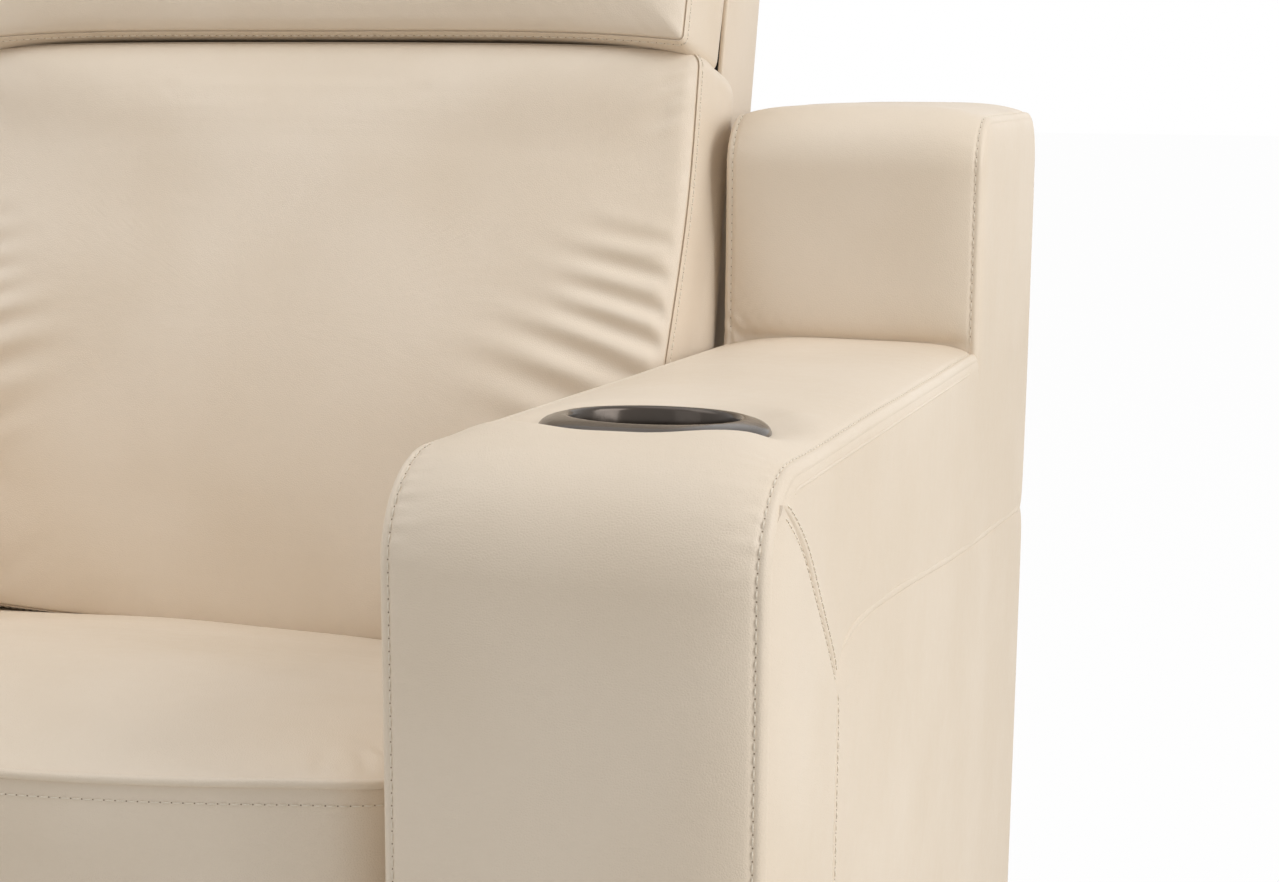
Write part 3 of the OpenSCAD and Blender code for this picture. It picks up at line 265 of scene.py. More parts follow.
def new_object(name: str, points: Array, faces: Sequence[Sequence[int]]) -> Object:
    """Link a mesh object whose faces all point outward.

    Args:
        name: The piece's name.
        points: Its points, in metres.
        faces: Point numbers of each face.

    Returns:
        The new object.
    """
    mesh = bpy.data.meshes.new(name)
    mesh.from_pydata(np.asarray(points, float).tolist(), [], [list(f) for f in faces])
    work = bmesh.new()
    work.from_mesh(mesh)
    bmesh.ops.recalc_face_normals(work, faces=work.faces)
    work.to_mesh(mesh)
    work.free()
    mesh.shade_smooth()
    mesh.set_sharp_from_angle(angle=COVER_SHARP_ANGLE)
    piece = bpy.data.objects.new(name, mesh)
    bpy.context.scene.collection.objects.link(piece)
    return piece


def set_uv(piece: Object, uv: Array) -> None:
    """Give a piece a UV map in metres of its own surface.

    Args:
        piece: The piece.
        uv: One pair for each point.
    """
    layer = piece.data.uv_layers.new(name="surface")
    corner = np.zeros(len(piece.data.loops), np.int32)
    piece.data.loops.foreach_get("vertex_index", corner)
    layer.data.foreach_set("uv", uv[corner].astype(np.float32).ravel())


def mesh_points(piece: Object) -> Array:
    """A piece's points, as rows of three."""
    points = np.zeros(len(piece.data.vertices) * 3)
    piece.data.vertices.foreach_get("co", points)
    return points.reshape(-1, 3)


def move_points(piece: Object, points: Array) -> None:
    """Give a hard piece new points, and shade it smooth between its edges.

    Args:
        piece: The piece.
        points: Its new points, as rows of three.
    """
    mesh = piece.data
    mesh.vertices.foreach_set("co", points.ravel())
    mesh.update()
    mesh.shade_smooth()
    mesh.set_sharp_from_angle(angle=HARD_SHARP_ANGLE)


def wrap_faces(rows: int, cols: int, first: int = 0, closed: bool = False) -> list[tuple[int, ...]]:
    """Faces of a net whose rows are rings.

    Args:
        rows: How many rings.
        cols: Points in each ring.
        first: Number of the net's first point.
        closed: Whether the last ring joins the first.

    Returns:
        Point numbers of each face.
    """
    faces = []
    for i in range(rows if closed else rows - 1):
        here, there = first + i * cols, first + (i + 1) % rows * cols
        for j in range(cols):
            k = (j + 1) % cols
            faces.append((here + j, here + k, there + k, there + j))
    return faces


def closed_skin(name: str, outer: Array, inner: Array, uv: Array, keep: Optional[Array]) -> Object:
    """Closed padded skin between an outer and an inner net of points.

    Args:
        name: The piece's name.
        outer: Outer net, shaped (rows, columns, 3).
        inner: Inner net of the same shape.
        uv: Surface coordinates, shaped (rows, columns, 2).
        keep: Which cells are covered; None covers them all.

    Returns:
        The new piece, with its UV map.
    """
    rows, cols = outer.shape[:2]
    cover = np.ones((rows - 1, cols - 1), bool) if keep is None else keep
    number = np.arange(rows * cols).reshape(rows, cols)
    far = rows * cols
    faces: list[tuple[int, ...]] = []
    padded = np.zeros((rows + 1, cols + 1), bool)
    padded[1:-1, 1:-1] = cover
    for i, j in zip(*np.nonzero(cover)):
        a, b, c, d = number[i, j], number[i + 1, j], number[i + 1, j + 1], number[i, j + 1]
        faces.append((a, b, c, d))
        faces.append((far + d, far + c, far + b, far + a))
        borders = ((a, d, padded[i, j + 1]), (c, b, padded[i + 2, j + 1]), (b, a, padded[i + 1, j]),
                   (d, c, padded[i + 1, j + 2]))
        faces.extend((p, q, far + q, far + p) for p, q, covered in borders if not covered)
    points = np.vstack([outer.reshape(-1, 3), inner.reshape(-1, 3)])
    used = np.unique(np.array([n for f in faces for n in f]))
    order = np.full(len(points), -1)
    order[used] = np.arange(len(used))
    piece = new_object(name, points[used], [[order[n] for n in f] for f in faces])
    set_uv(piece, np.tile(uv.reshape(-1, 2), (2, 1))[used])
    return piece


def net_normals(net: Array) -> Array:
    """Unit normals of a net of points.

    Args:
        net: Points shaped (rows, columns, 3).

    Returns:
        Normals of the same shape.
    """
    du = np.gradient(net, axis=0)
    dv = np.gradient(net, axis=1)
    n = np.cross(du, dv)
    return n / np.maximum(np.linalg.norm(n, axis=2, keepdims=True), TINY)


def tube(name: str, line: Array, radius: float, sides: int = 10, loop: bool = False) -> Object:
    """Round roll of leather, such as piping, along a line.

    Args:
        name: The piece's name.
        line: Its centre line, as rows of three.
        radius: Its radius.
        sides: How many sides.
        loop: Whether its ends meet.

    Returns:
        The new piece.
    """
    count = len(line)
    along = np.roll(line, -1, axis=0) - np.roll(line, 1, axis=0) if loop else np.gradient(line, axis=0)
    along = unit(along)
    up = np.array([0.0, 0.0, 1.0]) if abs(along[0][2]) < 0.8 else np.array([1.0, 0.0, 0.0])
    turn = np.linspace(0.0, math.tau, sides, endpoint=False)
    points = []
    for i in range(count):
        up = up - along[i] * float(up @ along[i])
        up = up / np.linalg.norm(up)
        other = np.cross(along[i], up)
        points.append(line[i] + radius * (np.outer(np.cos(turn), up) + np.outer(np.sin(turn), other)))
    caps = [] if loop else [range(sides), range((count - 1) * sides, count * sides)]
    return new_object(name, np.vstack(points), [*caps, *wrap_faces(count, sides, closed=loop)])


def clear_selection() -> None:
    """Deselect every object and leave edit mode."""
    if bpy.context.object and bpy.context.object.mode != "OBJECT":
        bpy.ops.object.mode_set(mode="OBJECT")
    bpy.ops.object.select_all(action="DESELECT")


def make_active(piece: Object) -> None:
    """Select one object alone and make it the active one."""
    clear_selection()
    piece.select_set(True)
    bpy.context.view_layer.objects.active = piece


# Stitching


@dataclass(frozen=True)
class Thread:
    """Sewing thread laid in a row of stitches with a needle hole between them."""

    pitch: float = 6.0 * MM
    length: float = 4.3 * MM
    radius: float = 0.46 * MM
    hole: float = 0.38 * MM
    hole_rise: float = 0.16 * MM
    hole_depth: float = 0.5 * MM
    feel: float = 0.5 * MM
    sides: int = 5
    hole_sides: int = 6
    sections: tuple[Triple, ...] = ((-0.5, 0.25, -0.5), (-0.36, 0.9, 0.35), (0.0, 1.0, 0.75),
                                    (0.36, 0.9, 0.35), (0.5, 0.25, -0.5))

    def stitches(self, centre: Array, along: Array, up: Array) -> tuple[Array, list[Sequence[int]]]:
        """Model the stitches as closed, tapered lengths of thread.

        Args:
            centre: Middle of each stitch.
            along: From each stitch's start to its end.
            up: Surface normal at each stitch.

        Returns:
            Their points and faces.
        """
        across = np.cross(up, unit(along))
        points = []
        for offset, fat, rise in self.sections:
            middle = centre + along * offset + up * (rise * self.radius)
            for a in np.linspace(0.0, math.tau, self.sides, endpoint=False):
                points.append(middle + (across * math.cos(a) + up * math.sin(a)) * (fat * self.radius))
        size = len(points)
        faces: list[Sequence[int]] = []
        for base in range(0, len(centre) * size, size):
            faces += [range(base, base + self.sides), range(base + size - self.sides, base + size)]
            faces += wrap_faces(len(self.sections), self.sides, base)
        return np.stack(points, axis=1).reshape(-1, 3), faces

    def holes(self, spots: Array, way: Array, up: Array, first: int) -> tuple[Array, list[Sequence[int]]]:
        """Model the needle holes between the stitches as dark plugs, whose dark colour is painted shade
        standing in for the shade inside the holes.

        Args:
            spots: Middle of each hole.
            way: Direction of the row at each hole.
            up: Surface normal at each hole.
            first: Index of the first point.

        Returns:
            Their points and faces.
        """
        flank = np.cross(up, way)
        disc = [spots + up * height + (way * math.cos(a) + flank * math.sin(a)) * self.hole
                for height in (self.hole_rise, -self.hole_depth)
                for a in np.linspace(0.0, math.tau, self.hole_sides, endpoint=False)]
        faces: list[Sequence[int]] = []
        for base in range(first, first + len(spots) * len(disc), len(disc)):
            top = base + np.arange(self.hole_sides)
            under = top + self.hole_sides
            faces += [tuple(top), tuple(under[::-1])]
            for k in range(self.hole_sides):
                n = (k + 1) % self.hole_sides
                faces.append((top[k], under[k], under[n], top[n]))
        return np.stack(disc, axis=1).reshape(-1, 3), faces

    def sew(self, name: str, line: Array, normals: Array, body: str, dress: "Finishes") -> Object:
        """Lay stitches along a line on a surface.

        Args:
            name: The row's name.
            line: Points of the row, on the surface.
            normals: Surface normals at those points.
            body: The body that the row rides on.
            dress: The chair's finishes.

        Returns:
            The row as one piece.
        """
        length = run_length(line)
        count = max(2, int(length[-1] / self.pitch))
        at = (np.arange(count) + 0.5) * length[-1] / count
        between = at[:-1] + length[-1] / count / 2

        def sample(rows: Array, where: Array) -> Array:
            """Rows at given distances along the line."""
            return np.stack([np.interp(where, length, rows[:, k]) for k in range(3)], axis=1)

        along = sample(line, at + self.length / 2) - sample(line, at - self.length / 2)
        points, faces = self.stitches(sample(line, at), along, unit(sample(normals, at)))
        spots = sample(line, between)
        way = unit(sample(line, between + self.feel) - spots)
        more, plugs = self.holes(spots, way, unit(sample(normals, between)), len(points))
        piece = new_object(name, np.vstack([points, more]), faces + plugs)
        piece.data.materials.append(dress.thread)
        # Second finish: painted shade on the needle-hole plugs.
        piece.data.materials.append(dress.needle_hole_shade)
        marks = np.repeat(np.array([0, 1], np.int32), [len(faces), len(plugs)])
        piece.data.polygons.foreach_set("material_index", marks)
        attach(piece, body)
        return piece


# Finishes


class Kit:
    """Small helper that adds and links the nodes of one material."""

    def __init__(self, name: str) -> None:
        """Start an empty node material.

        Args:
            name: The finish's name.
        """
        self.material = bpy.data.materials.new(name)
        self.material.use_nodes = True
        self.tree = self.material.node_tree
        self.shader = self.tree.nodes["Principled BSDF"]
        self.place = self.add("ShaderNodeTexCoord")

    def add(self, kind: str, **settings: object) -> Node:
        """Add one node.

        Args:
            kind: Its Blender type.
            settings: Properties to set on it.

        Returns:
            The node.
        """
        node = self.tree.nodes.new(kind)
        for key, value in settings.items():
            setattr(node, key, value)
        return node

    def link(self, out: Socket, into: Socket) -> None:
        """Join two sockets."""
        self.tree.links.new(out, into)

    def noise(self, scale: float, detail: float = 3.0, stretch: Triple = (1, 1, 1)) -> Socket:
        """Noise on the piece's own coordinates.

        Args:
            scale: Cells for each metre.
            detail: How many finer layers.
            stretch: Scale of each axis.

        Returns:
            The noise's value.
        """
        node = self.add("ShaderNodeTexNoise")
        node.inputs["Scale"].default_value = scale
        node.inputs["Detail"].default_value = detail
        self.link(self.stretched(stretch), node.inputs["Vector"])
        return node.outputs["Fac"]

    def stretched(self, stretch: Triple) -> Socket:
        """The piece's own coordinates, scaled on each axis."""
        if stretch == (1, 1, 1):
            return self.place.outputs["Object"]
        node = self.add("ShaderNodeMapping")
        node.inputs["Scale"].default_value = stretch
        self.link(self.place.outputs["Object"], node.inputs["Vector"])
        return node.outputs["Vector"]

    def cells(self, scale: float) -> Socket:
        """Pattern of small irregular cells, as on grained leather."""
        node = self.add("ShaderNodeTexVoronoi", feature="DISTANCE_TO_EDGE")
        node.inputs["Scale"].default_value = scale
        node.inputs["Randomness"].default_value = 1.0
        self.link(self.place.outputs["Object"], node.inputs["Vector"])
        return node.outputs["Distance"]

    def span(self, value: Socket, low: float, high: float, to_low: float, to_high: float) -> Socket:
        """Map a value from one range to another.

        Args:
            value: The value.
            low: Low end of its range.
            high: High end of its range.
            to_low: What the low end becomes.
            to_high: What the high end becomes.

        Returns:
            The mapped value.
        """
        node = self.add("ShaderNodeMapRange")
        for key, number in zip(("From Min", "From Max", "To Min", "To Max"), (low, high, to_low, to_high)):
            node.inputs[key].default_value = number
        self.link(value, node.inputs["Value"])
        return node.outputs["Result"]

    def sum(self, first: Socket, second: Socket, share: float) -> Socket:
        """First value plus a share of the second."""
        node = self.add("ShaderNodeMath", operation="MULTIPLY_ADD")
        self.link(second, node.inputs[0])
        node.inputs[1].default_value = share
        self.link(first, node.inputs[2])
        return node.outputs[0]

    def blend(self, share: Socket, first: Triple, second: Triple) -> Socket:
        """Mix two colours.

        Args:
            share: How much of the second colour shows.
            first: The first colour.
            second: The second colour.

        Returns:
            The mixed colour.
        """
        node = self.add("ShaderNodeMix", data_type="RGBA")
        node.inputs[6].default_value = (*first, 1.0)
        node.inputs[7].default_value = (*second, 1.0)
        self.link(share, node.inputs[0])
        return node.outputs[2]

    def tint(self, colour: Socket) -> None:
        """Lead a colour to the surface."""
        self.link(colour, self.shader.inputs["Base Color"])

    def gloss(self, roughness: Socket) -> None:
        """Lead a roughness to the surface."""
        self.link(roughness, self.shader.inputs["Roughness"])

    def relief(self, height: Socket, depth: float, strength: float) -> None:
        """Lead a height pattern to the surface as bumps.

        Args:
            height: The pattern.
            depth: Its full depth, in metres.
            strength: How strongly it shows.
        """
        bump = self.add("ShaderNodeBump")
        bump.inputs["Distance"].default_value = depth
        bump.inputs["Strength"].default_value = strength
        self.link(height, bump.inputs["Height"])
        self.link(bump.outputs["Normal"], self.shader.inputs["Normal"])

    def constants(self, **numbers: float) -> None:
        """Set fixed numbers on the surface's own sockets."""
        for key, value in numbers.items():
            self.shader.inputs[key.replace("_", " ")].default_value = value


@dataclass(frozen=True)
class Leather:
    """Smooth cream upholstery leather with a fine grain and soft colour changes."""

    name: str
    colour: Triple
    roughness: float = 0.46
    grain: float = 760.0
    depth: float = 0.00013

    def made(self) -> Material:
        """Build the finish.

        Returns:
            Its material.
        """
        kit = Kit(self.name)
        shade = tuple(c * m for c, m in zip(self.colour, (0.95, 0.935, 0.91)))
        cloud = kit.span(kit.noise(7.0, 2.0), 0.35, 0.65, 0.0, 1.0)
        pore = kit.cells(self.grain)
        fine = kit.noise(2600.0, 2.0)
        slow = kit.noise(95.0, 3.0)
        creases = kit.noise(210.0, 4.0, (1.0, 1.0, 0.45))
        kit.tint(kit.blend(cloud, self.colour, shade))
        height = kit.sum(kit.span(pore, 0.0, 0.28, 0.0, 1.0), fine, 0.35)
        height = kit.sum(height, creases, 0.9)
        kit.relief(kit.sum(height, slow, 0.8), self.depth, 0.55)
        wear = kit.sum(slow, pore, 0.5)
        kit.gloss(kit.span(wear, 0.3, 0.85, self.roughness - 0.05, self.roughness + 0.07))
        kit.constants(Specular_IOR_Level=0.42, Coat_Weight=0.04, Coat_Roughness=0.32)
        return kit.material


@dataclass(frozen=True)
class Cord:
    """Spun sewing thread."""

    name: str = "sewing_thread"
    colour: Triple = (0.86, 0.77, 0.64)

    def made(self) -> Material:
        """Build the finish."""
        kit = Kit(self.name)
        ply = kit.noise(1900.0, 2.0)
        kit.tint(kit.blend(ply, self.colour, tuple(c * 0.8 for c in self.colour)))
        kit.relief(ply, 0.0002, 0.5)
        kit.gloss(kit.span(ply, 0.3, 0.7, 0.45, 0.65))
        return kit.material


@dataclass(frozen=True)
class Plain:
    """Hard surface with a light texture, such as moulded plastic or painted steel."""

    name: str
    colour: Triple
    second: Triple
    roughness: float
    metallic: float = 0.0
    scale: float = 420.0
    depth: float = 0.0001
    coat: float = 0.0

    def made(self) -> Material:
        """Build the finish."""
        kit = Kit(self.name)
        mottle = kit.noise(self.scale)
        broad = kit.noise(self.scale / 24.0, 2.0)
        kit.tint(kit.blend(kit.span(broad, 0.3, 0.7, 0.0, 1.0), self.colour, self.second))
        kit.relief(mottle, self.depth, 0.6)
        wear = kit.sum(mottle, broad, 0.8)
        kit.gloss(kit.span(wear, 0.6, 1.2, self.roughness - 0.05, self.roughness + 0.09))
        kit.constants(Metallic=self.metallic, Coat_Weight=self.coat, Coat_Roughness=0.08)
        return kit.material


@dataclass(frozen=True)
class Plywood:
    """Birch plywood with long grain lines."""

    name: str = "birch_plywood"

    def made(self) -> Material:
        """Build the finish."""
        kit = Kit(self.name)
        lines = kit.noise(46.0, 5.0, (9.0, 0.7, 9.0))
        layers = kit.add("ShaderNodeTexWave", bands_direction="X")
        layers.inputs["Scale"].default_value = 95.0
        layers.inputs["Distortion"].default_value = 0.6
        kit.link(kit.place.outputs["Object"], layers.inputs["Vector"])
        shade = kit.sum(lines, layers.outputs["Fac"], 0.3)
        kit.tint(kit.blend(shade, (0.60, 0.43, 0.24), (0.40, 0.25, 0.12)))
        kit.relief(lines, 0.0004, 0.5)
        kit.gloss(kit.span(lines, 0.3, 0.7, 0.5, 0.68))
        return kit.material


@dataclass(frozen=True)
class Webbing:
    """Woven elastic seat webbing."""

    name: str = "elastic_webbing"

    def made(self) -> Material:
        """Build the finish."""
        kit = Kit(self.name)
        weave = kit.add("ShaderNodeTexChecker")
        weave.inputs["Scale"].default_value = 520.0
        kit.link(kit.place.outputs["Object"], weave.inputs["Vector"])
        fuzz = kit.noise(900.0, 2.0)
        shade = kit.sum(weave.outputs["Fac"], fuzz, 0.4)
        kit.tint(kit.blend(shade, (0.07, 0.065, 0.06), (0.16, 0.15, 0.135)))
        kit.relief(kit.sum(weave.outputs["Fac"], fuzz, 0.5), 0.0003, 0.7)
        kit.gloss(kit.span(fuzz, 0.3, 0.7, 0.75, 0.9))
        return kit.material


class Finishes:
    """All the chair's finishes, each built once."""

    def __init__(self) -> None:
        """Build every finish."""
        cream = (0.765, 0.66, 0.538)
        self.leather = Leather("cream_leather", cream).made()
        self.side_leather = Leather("cream_panel_leather", cream, 0.48, 700.0, 0.00012).made()
        self.thread = Cord().made()
        # Painted shade: dark brown for the needle-hole plugs, in place of the shade inside the holes.
        self.needle_hole_shade = Plain("needle_hole_shade", (0.27, 0.20, 0.13), (0.20, 0.145, 0.095), 0.8).made()
        self.bronze = Plain("glossy_bronze", (0.050, 0.038, 0.029), (0.064, 0.048, 0.036), 0.17, metallic=0.6,
                            scale=260.0, depth=0.00002, coat=0.15).made()
        self.cup_plastic = Plain("cup_plastic", (0.040, 0.041, 0.043), (0.052, 0.053, 0.055), 0.38,
                                 scale=900.0, depth=0.00008).made()
        self.black_plastic = Plain("black_plastic", (0.018, 0.018, 0.019), (0.028, 0.028, 0.029), 0.42).made()
        self.black_steel = Plain("black_painted_steel", (0.022, 0.022, 0.023), (0.035, 0.034, 0.033), 0.4,
                                 metallic=0.3, scale=700.0, depth=0.00012).made()
        self.zinc_steel = Plain("zinc_plated_steel", (0.58, 0.58, 0.56), (0.45, 0.45, 0.44), 0.3,
                                metallic=1.0, scale=500.0, depth=0.00004).made()
        self.plywood = Plywood().made()
        self.webbing = Webbing().made()

    def by_slot(self, slot: str) -> Material:
        """Finish for one of the record's material slots.

        Args:
            slot: The slot's name.

        Returns:
            Its material.
        """
        table = {"cushion_leather": self.leather, "panel_leather": self.side_leather, "plywood": self.plywood,
                 "black_steel": self.black_steel, "zinc_steel": self.zinc_steel,
                 "black_plastic": self.black_plastic, "ring_metal": self.bronze, "webbing": self.webbing}
        return table[slot]


def finish_piece(piece: Object, material: Material, body: str,
                 nodes: Sequence[str] = ()) -> Object:
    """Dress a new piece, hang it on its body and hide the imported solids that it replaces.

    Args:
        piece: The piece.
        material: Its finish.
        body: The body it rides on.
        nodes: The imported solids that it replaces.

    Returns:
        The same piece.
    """
    if not piece.data.materials:
        piece.data.materials.append(material)
    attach(piece, body)
    if nodes:
        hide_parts(*nodes)
    log.info("%s: %d faces", piece.name, len(piece.data.polygons))
    return piece


# Arm upholstery


@dataclass(frozen=True)
class ArmShape:
    """Outline of an arm in the side plane, in metres."""

    inner_x: float = 0.305
    outer_x: float = 0.484
    front: float = -0.433
    base: float = 0.046
    front_top: float = 0.632
    rear_top: float = 0.612
    nose: float = -0.445
    block_reach: float = 0.587
    roll: float = 0.046
    block_front: float = 0.151
    block_rear: float = 0.436
    block_top: float = 0.771
    block_front_roll: float = 0.034
    block_rear_roll: float = 0.042
    block_hem: float = 0.643
    front_crown: float = 0.012
    top_crown: float = 0.009
    ring_y: float = -0.308
    ring_z: float = 0.6275
    ring_tilt: float = 3.4
    strip_angle: float = 140.0
    seam_angle: float = 128.0
    roll_end: float = 92.0

    @property
    def middle(self) -> float:
        """The arm's middle plane."""
        return (self.inner_x + self.outer_x) / 2

    @property
    def half(self) -> float:
        """Half the arm's width."""
        return (self.outer_x - self.inner_x) / 2

    def top(self, y: Array) -> Array:
        """Height of the arm's top seam at a depth."""
        drop = self.rear_top - self.front_top
        return self.front_top + drop * (np.asarray(y, float) - self.nose) / self.block_reach

    @property
    def roll_centre(self) -> Pair:
        """Centre of the roll at the arm's front."""
        y = self.front + self.roll
        return y, float(self.top(y)) - self.roll

    def ridge(self, low: float, high: float) -> Array:
        """The front ridge and roll, from a height up to an angle on the roll.

        Args:
            low: Height where it starts.
            high: Angle on the roll where it ends, in degrees.

        Returns:
            Points in the side plane.
        """
        centre = self.roll_centre
        straight = np.stack([np.full(30, self.front), np.linspace(low, centre[1], 30)], axis=1)
        return np.vstack([straight[:-1], arc(centre, self.roll, 180.0, high, 26)])

    def top_line(self, start: float) -> Array:
        """Top seam from an angle on the roll back to the block."""
        centre = self.roll_centre
        bend = arc(centre, self.roll, start, self.roll_end, 14)
        y = np.linspace(centre[0] + 0.004, self.block_front, 60)
        return np.vstack([bend, np.stack([y, self.top(y)], axis=1)])

    def block_front_line(self) -> Array:
        """Front edge of the rear block's side, with its rounded corner."""
        centre = (self.block_front + self.block_front_roll, self.block_top - self.block_front_roll)
        height = np.linspace(float(self.top(self.block_front)), centre[1], 12)
        up = np.stack([np.full(12, self.block_front), height], axis=1)
        return np.vstack([up[:-1], arc(centre, self.block_front_roll, 180.0, 90.0, 14)])

    def block_top_line(self) -> Array:
        """Top edge of the rear block's side."""
        y = np.linspace(self.block_front + self.block_front_roll, self.block_rear - self.block_rear_roll, 20)
        return np.stack([y, np.full(20, self.block_top)], axis=1)

    def block_rear_line(self) -> Array:
        """Rounded rear corner of the block's side."""
        centre = (self.block_rear - self.block_rear_roll, self.block_top - self.block_rear_roll)
        return arc(centre, self.block_rear_roll, 90.0, 0.0, 14)

    def block_lines(self) -> list[Array]:
        """The block's front, top and rear edges, in order."""
        return [self.block_front_line(), self.block_top_line(), self.block_rear_line()]


def across_stations(height: Array, count: int) -> Array:
    """Shares across a ruled panel, dense beside both of its borders.

    Args:
        height: The panel's span at each column.
        count: How many shares lie in the open middle.

    Returns:
        Shares shaped (rows, columns).
    """
    near = np.array([0, 0.5, 1.0, 1.6, 2.3, 3.1, 4.1, 5.3, 6.8, 8.6, 11.0, 14.5, 19.5, 27.0]) * MM
    scale = np.minimum(1.0, height / (2.6 * near[-1]))
    low = near[:, None] * scale[None, :] / height[None, :]
    middle = np.linspace(0.0, 1.0, count + 2)[1:-1, None]
    inside = low[-1] + (1.0 - 2.0 * low[-1]) * middle
    return np.vstack([low, inside, 1.0 - low[::-1]])


def ruled(low: Array, high: Array, count: int) -> Array:
    """Flat net between two lines of equally many points.

    Args:
        low: The first border.
        high: The second border.
        count: Rows in the open middle.

    Returns:
        Points shaped (rows, columns, 2).
    """
    height = np.maximum(np.linalg.norm(high - low, axis=1), 0.4 * MM)
    share = across_stations(height, count)[:, :, None]
    return low[None] * (1.0 - share) + high[None] * share


def joined(pairs: Sequence[tuple[Array, Array, int]]) -> tuple[Array, Array]:
    """Two borders resampled run by run so that their points pair up.

    Args:
        pairs: Runs of the first border, the second border and their point count.

    Returns:
        The two borders.
    """
    first, second = [], []
    for number, (a, b, count) in enumerate(pairs):
        skip = 0 if number == 0 else 1
        first.append(even_line(a, count)[skip:])
        second.append(even_line(b, count)[skip:])
    return np.vstack(first), np.vstack(second)


def segment(start: Pair, end: Pair) -> Array:
    """Straight line between two points."""
    return np.array([start, end], float)


class ArmCover:
    """Leather cover of one arm: wrapped top, rear block and sewn side panels."""

    JUNCTION = (-0.3005, 0.512)
    CURVE_POINTS = ((-0.379, 0.595), (-0.346, 0.562), (-0.317, 0.531), JUNCTION)
    WELT_POINTS = (JUNCTION, (-0.288, 0.5215), (-0.263, 0.5265), (-0.214, 0.525), (-0.164, 0.520),
                   (-0.095, 0.512), (-0.017, 0.502), (0.070, 0.491), (0.170, 0.480), (0.290, 0.468),
                   (0.436, 0.453))
    UPRIGHT_FOOT_Y = -0.303
    SWITCH_AT = (-0.195, 0.492)
    TOP_PADDING = 20.0 * MM
    BLOCK_PADDING = 18.0 * MM
    PANEL_PADDING = 9.0 * MM
    INNER_PADDING = 8.0 * MM
    BORDER_PADDING = 1.6 * MM
    PADDING_DRAW = 5.0 * MM
    HEM_RIDGE = 0.55 * MM
    STITCH_VALLEY = 0.75 * MM
    SEAM_SINK = 2.4 * MM
    GATHERS = 0.8 * MM
    CREST = 5.0 * MM
    DISH = 6.2 * MM
    DISH_REACH = (0.052, 0.083)
    CUP_HOLE = 0.0495
    BLOCK_CROWN = 9.0 * MM
    BLOCK_FOOT = 7.0 * MM
    BLOCK_SEAM_RISE = 0.017
    STRIP_SWELL = 6.2 * MM
    STRIP_SEAM_RISE = 0.6 * MM
    UPPER_SWELL = 1.8 * MM
    LOWER_SWELL = 2.2 * MM
    INNER_SWELL = 2.4 * MM
    REAR_SWELL = 7.5 * MM
    WELT_SUNK = 0.8 * MM
    WELT_RADIUS = 2.6 * MM
    LAP_SUNK = 0.5 * MM
    LAP_RADIUS = 1.1 * MM
    LAP_GAP = 7.5 * MM
    CURVE_STITCH_GAP = 3.0 * MM

    def __init__(self, side: Side, shape: ArmShape, dress: Finishes, thread: Thread) -> None:
        """Keep what the cover is made from.

        Args:
            side: Which arm.
            shape: The arm's outline.
            dress: The chair's finishes.
            thread: The sewing thread.
        """
        self.side = side
        self.shape = shape
        self.dress = dress
        self.thread = thread
        seam_start = arc(shape.roll_centre, shape.roll, shape.seam_angle, shape.seam_angle, 1)[0]
        self.curved_seam = smooth_line([tuple(seam_start), *self.CURVE_POINTS], 2.0 * MM)
        self.welt_line = smooth_line(self.WELT_POINTS, 6.0 * MM)
        self.upright_seam = segment((self.UPRIGHT_FOOT_Y, shape.base), self.JUNCTION)
        self.strip_seam = np.vstack([self.upright_seam, self.curved_seam[::-1]])
        self.top_edge = np.vstack([shape.top_line(shape.seam_angle), *shape.block_lines()])
        self.rear_edge = segment((shape.block_rear, shape.base), (shape.block_rear, shape.block_top))

    def put(self, points: Array) -> Array:
        """Points of the right arm moved to this arm."""
        return points * np.array([float(self.side.value), 1.0, 1.0])

    def piece(self, name: str, net: Array, inner: Array, uv: Array, keep: Optional[Array],
              nodes: Sequence[str], slot: str = "panel_leather") -> Object:
        """Make one leather piece of this arm.

        Args:
            name: The piece's name, without its side.
            net: Outer net, drawn for the right arm.
            inner: Inner net.
            uv: Surface coordinates.
            keep: Which cells are covered; None covers them all.
            nodes: Node names that it stands for, without their side.
            slot: The record's material slot.

        Returns:
            The piece.
        """
        word = self.side.word
        skin = closed_skin(f"{word}_{name}", self.put(net), self.put(inner), uv, keep)
        finish = self.dress.leather if slot == "cushion_leather" else self.dress.side_leather
        finish_piece(skin, finish, "base", [f"{word}_{n}" for n in nodes])
        return skin

    def row(self, name: str, line: Array, normals: Array) -> Object:
        """Sew one row of stitches on this arm."""
        name = f"{self.side.word}_{name}"
        return self.thread.sew(name, self.put(line), self.put(normals), "base", self.dress)

    def edge_profile(self, x: Array) -> Array:
        """Relief beside a wrapped panel's two side seams.

        Args:
            x: Distance from the panel's middle.

        Returns:
            Height to add along the surface normal.
        """
        gap = self.shape.half - np.abs(x)
        return (self.HEM_RIDGE * bell(gap, 2.6 * MM, 1.7 * MM)
                - self.STITCH_VALLEY * bell(gap, STITCH_INSET, 1.25 * MM)
                - self.SEAM_SINK * np.exp(-gap / (0.9 * MM)))

    def crown(self, x: Array, inner_power: float, outer_power: float) -> Array:
        """Share of the crown across a wrapped panel.

        Args:
            x: Distance from the middle, positive to the outside.
            inner_power: How flat the inner half is.
            outer_power: How flat the outer half is.

        Returns:
            Shares from 0 at the seams to 1.
        """
        reach = np.clip(np.abs(x) / self.shape.half, 0.0, 1.0)
        power = np.where(x < 0, inner_power, outer_power)
        return 1.0 - reach ** power

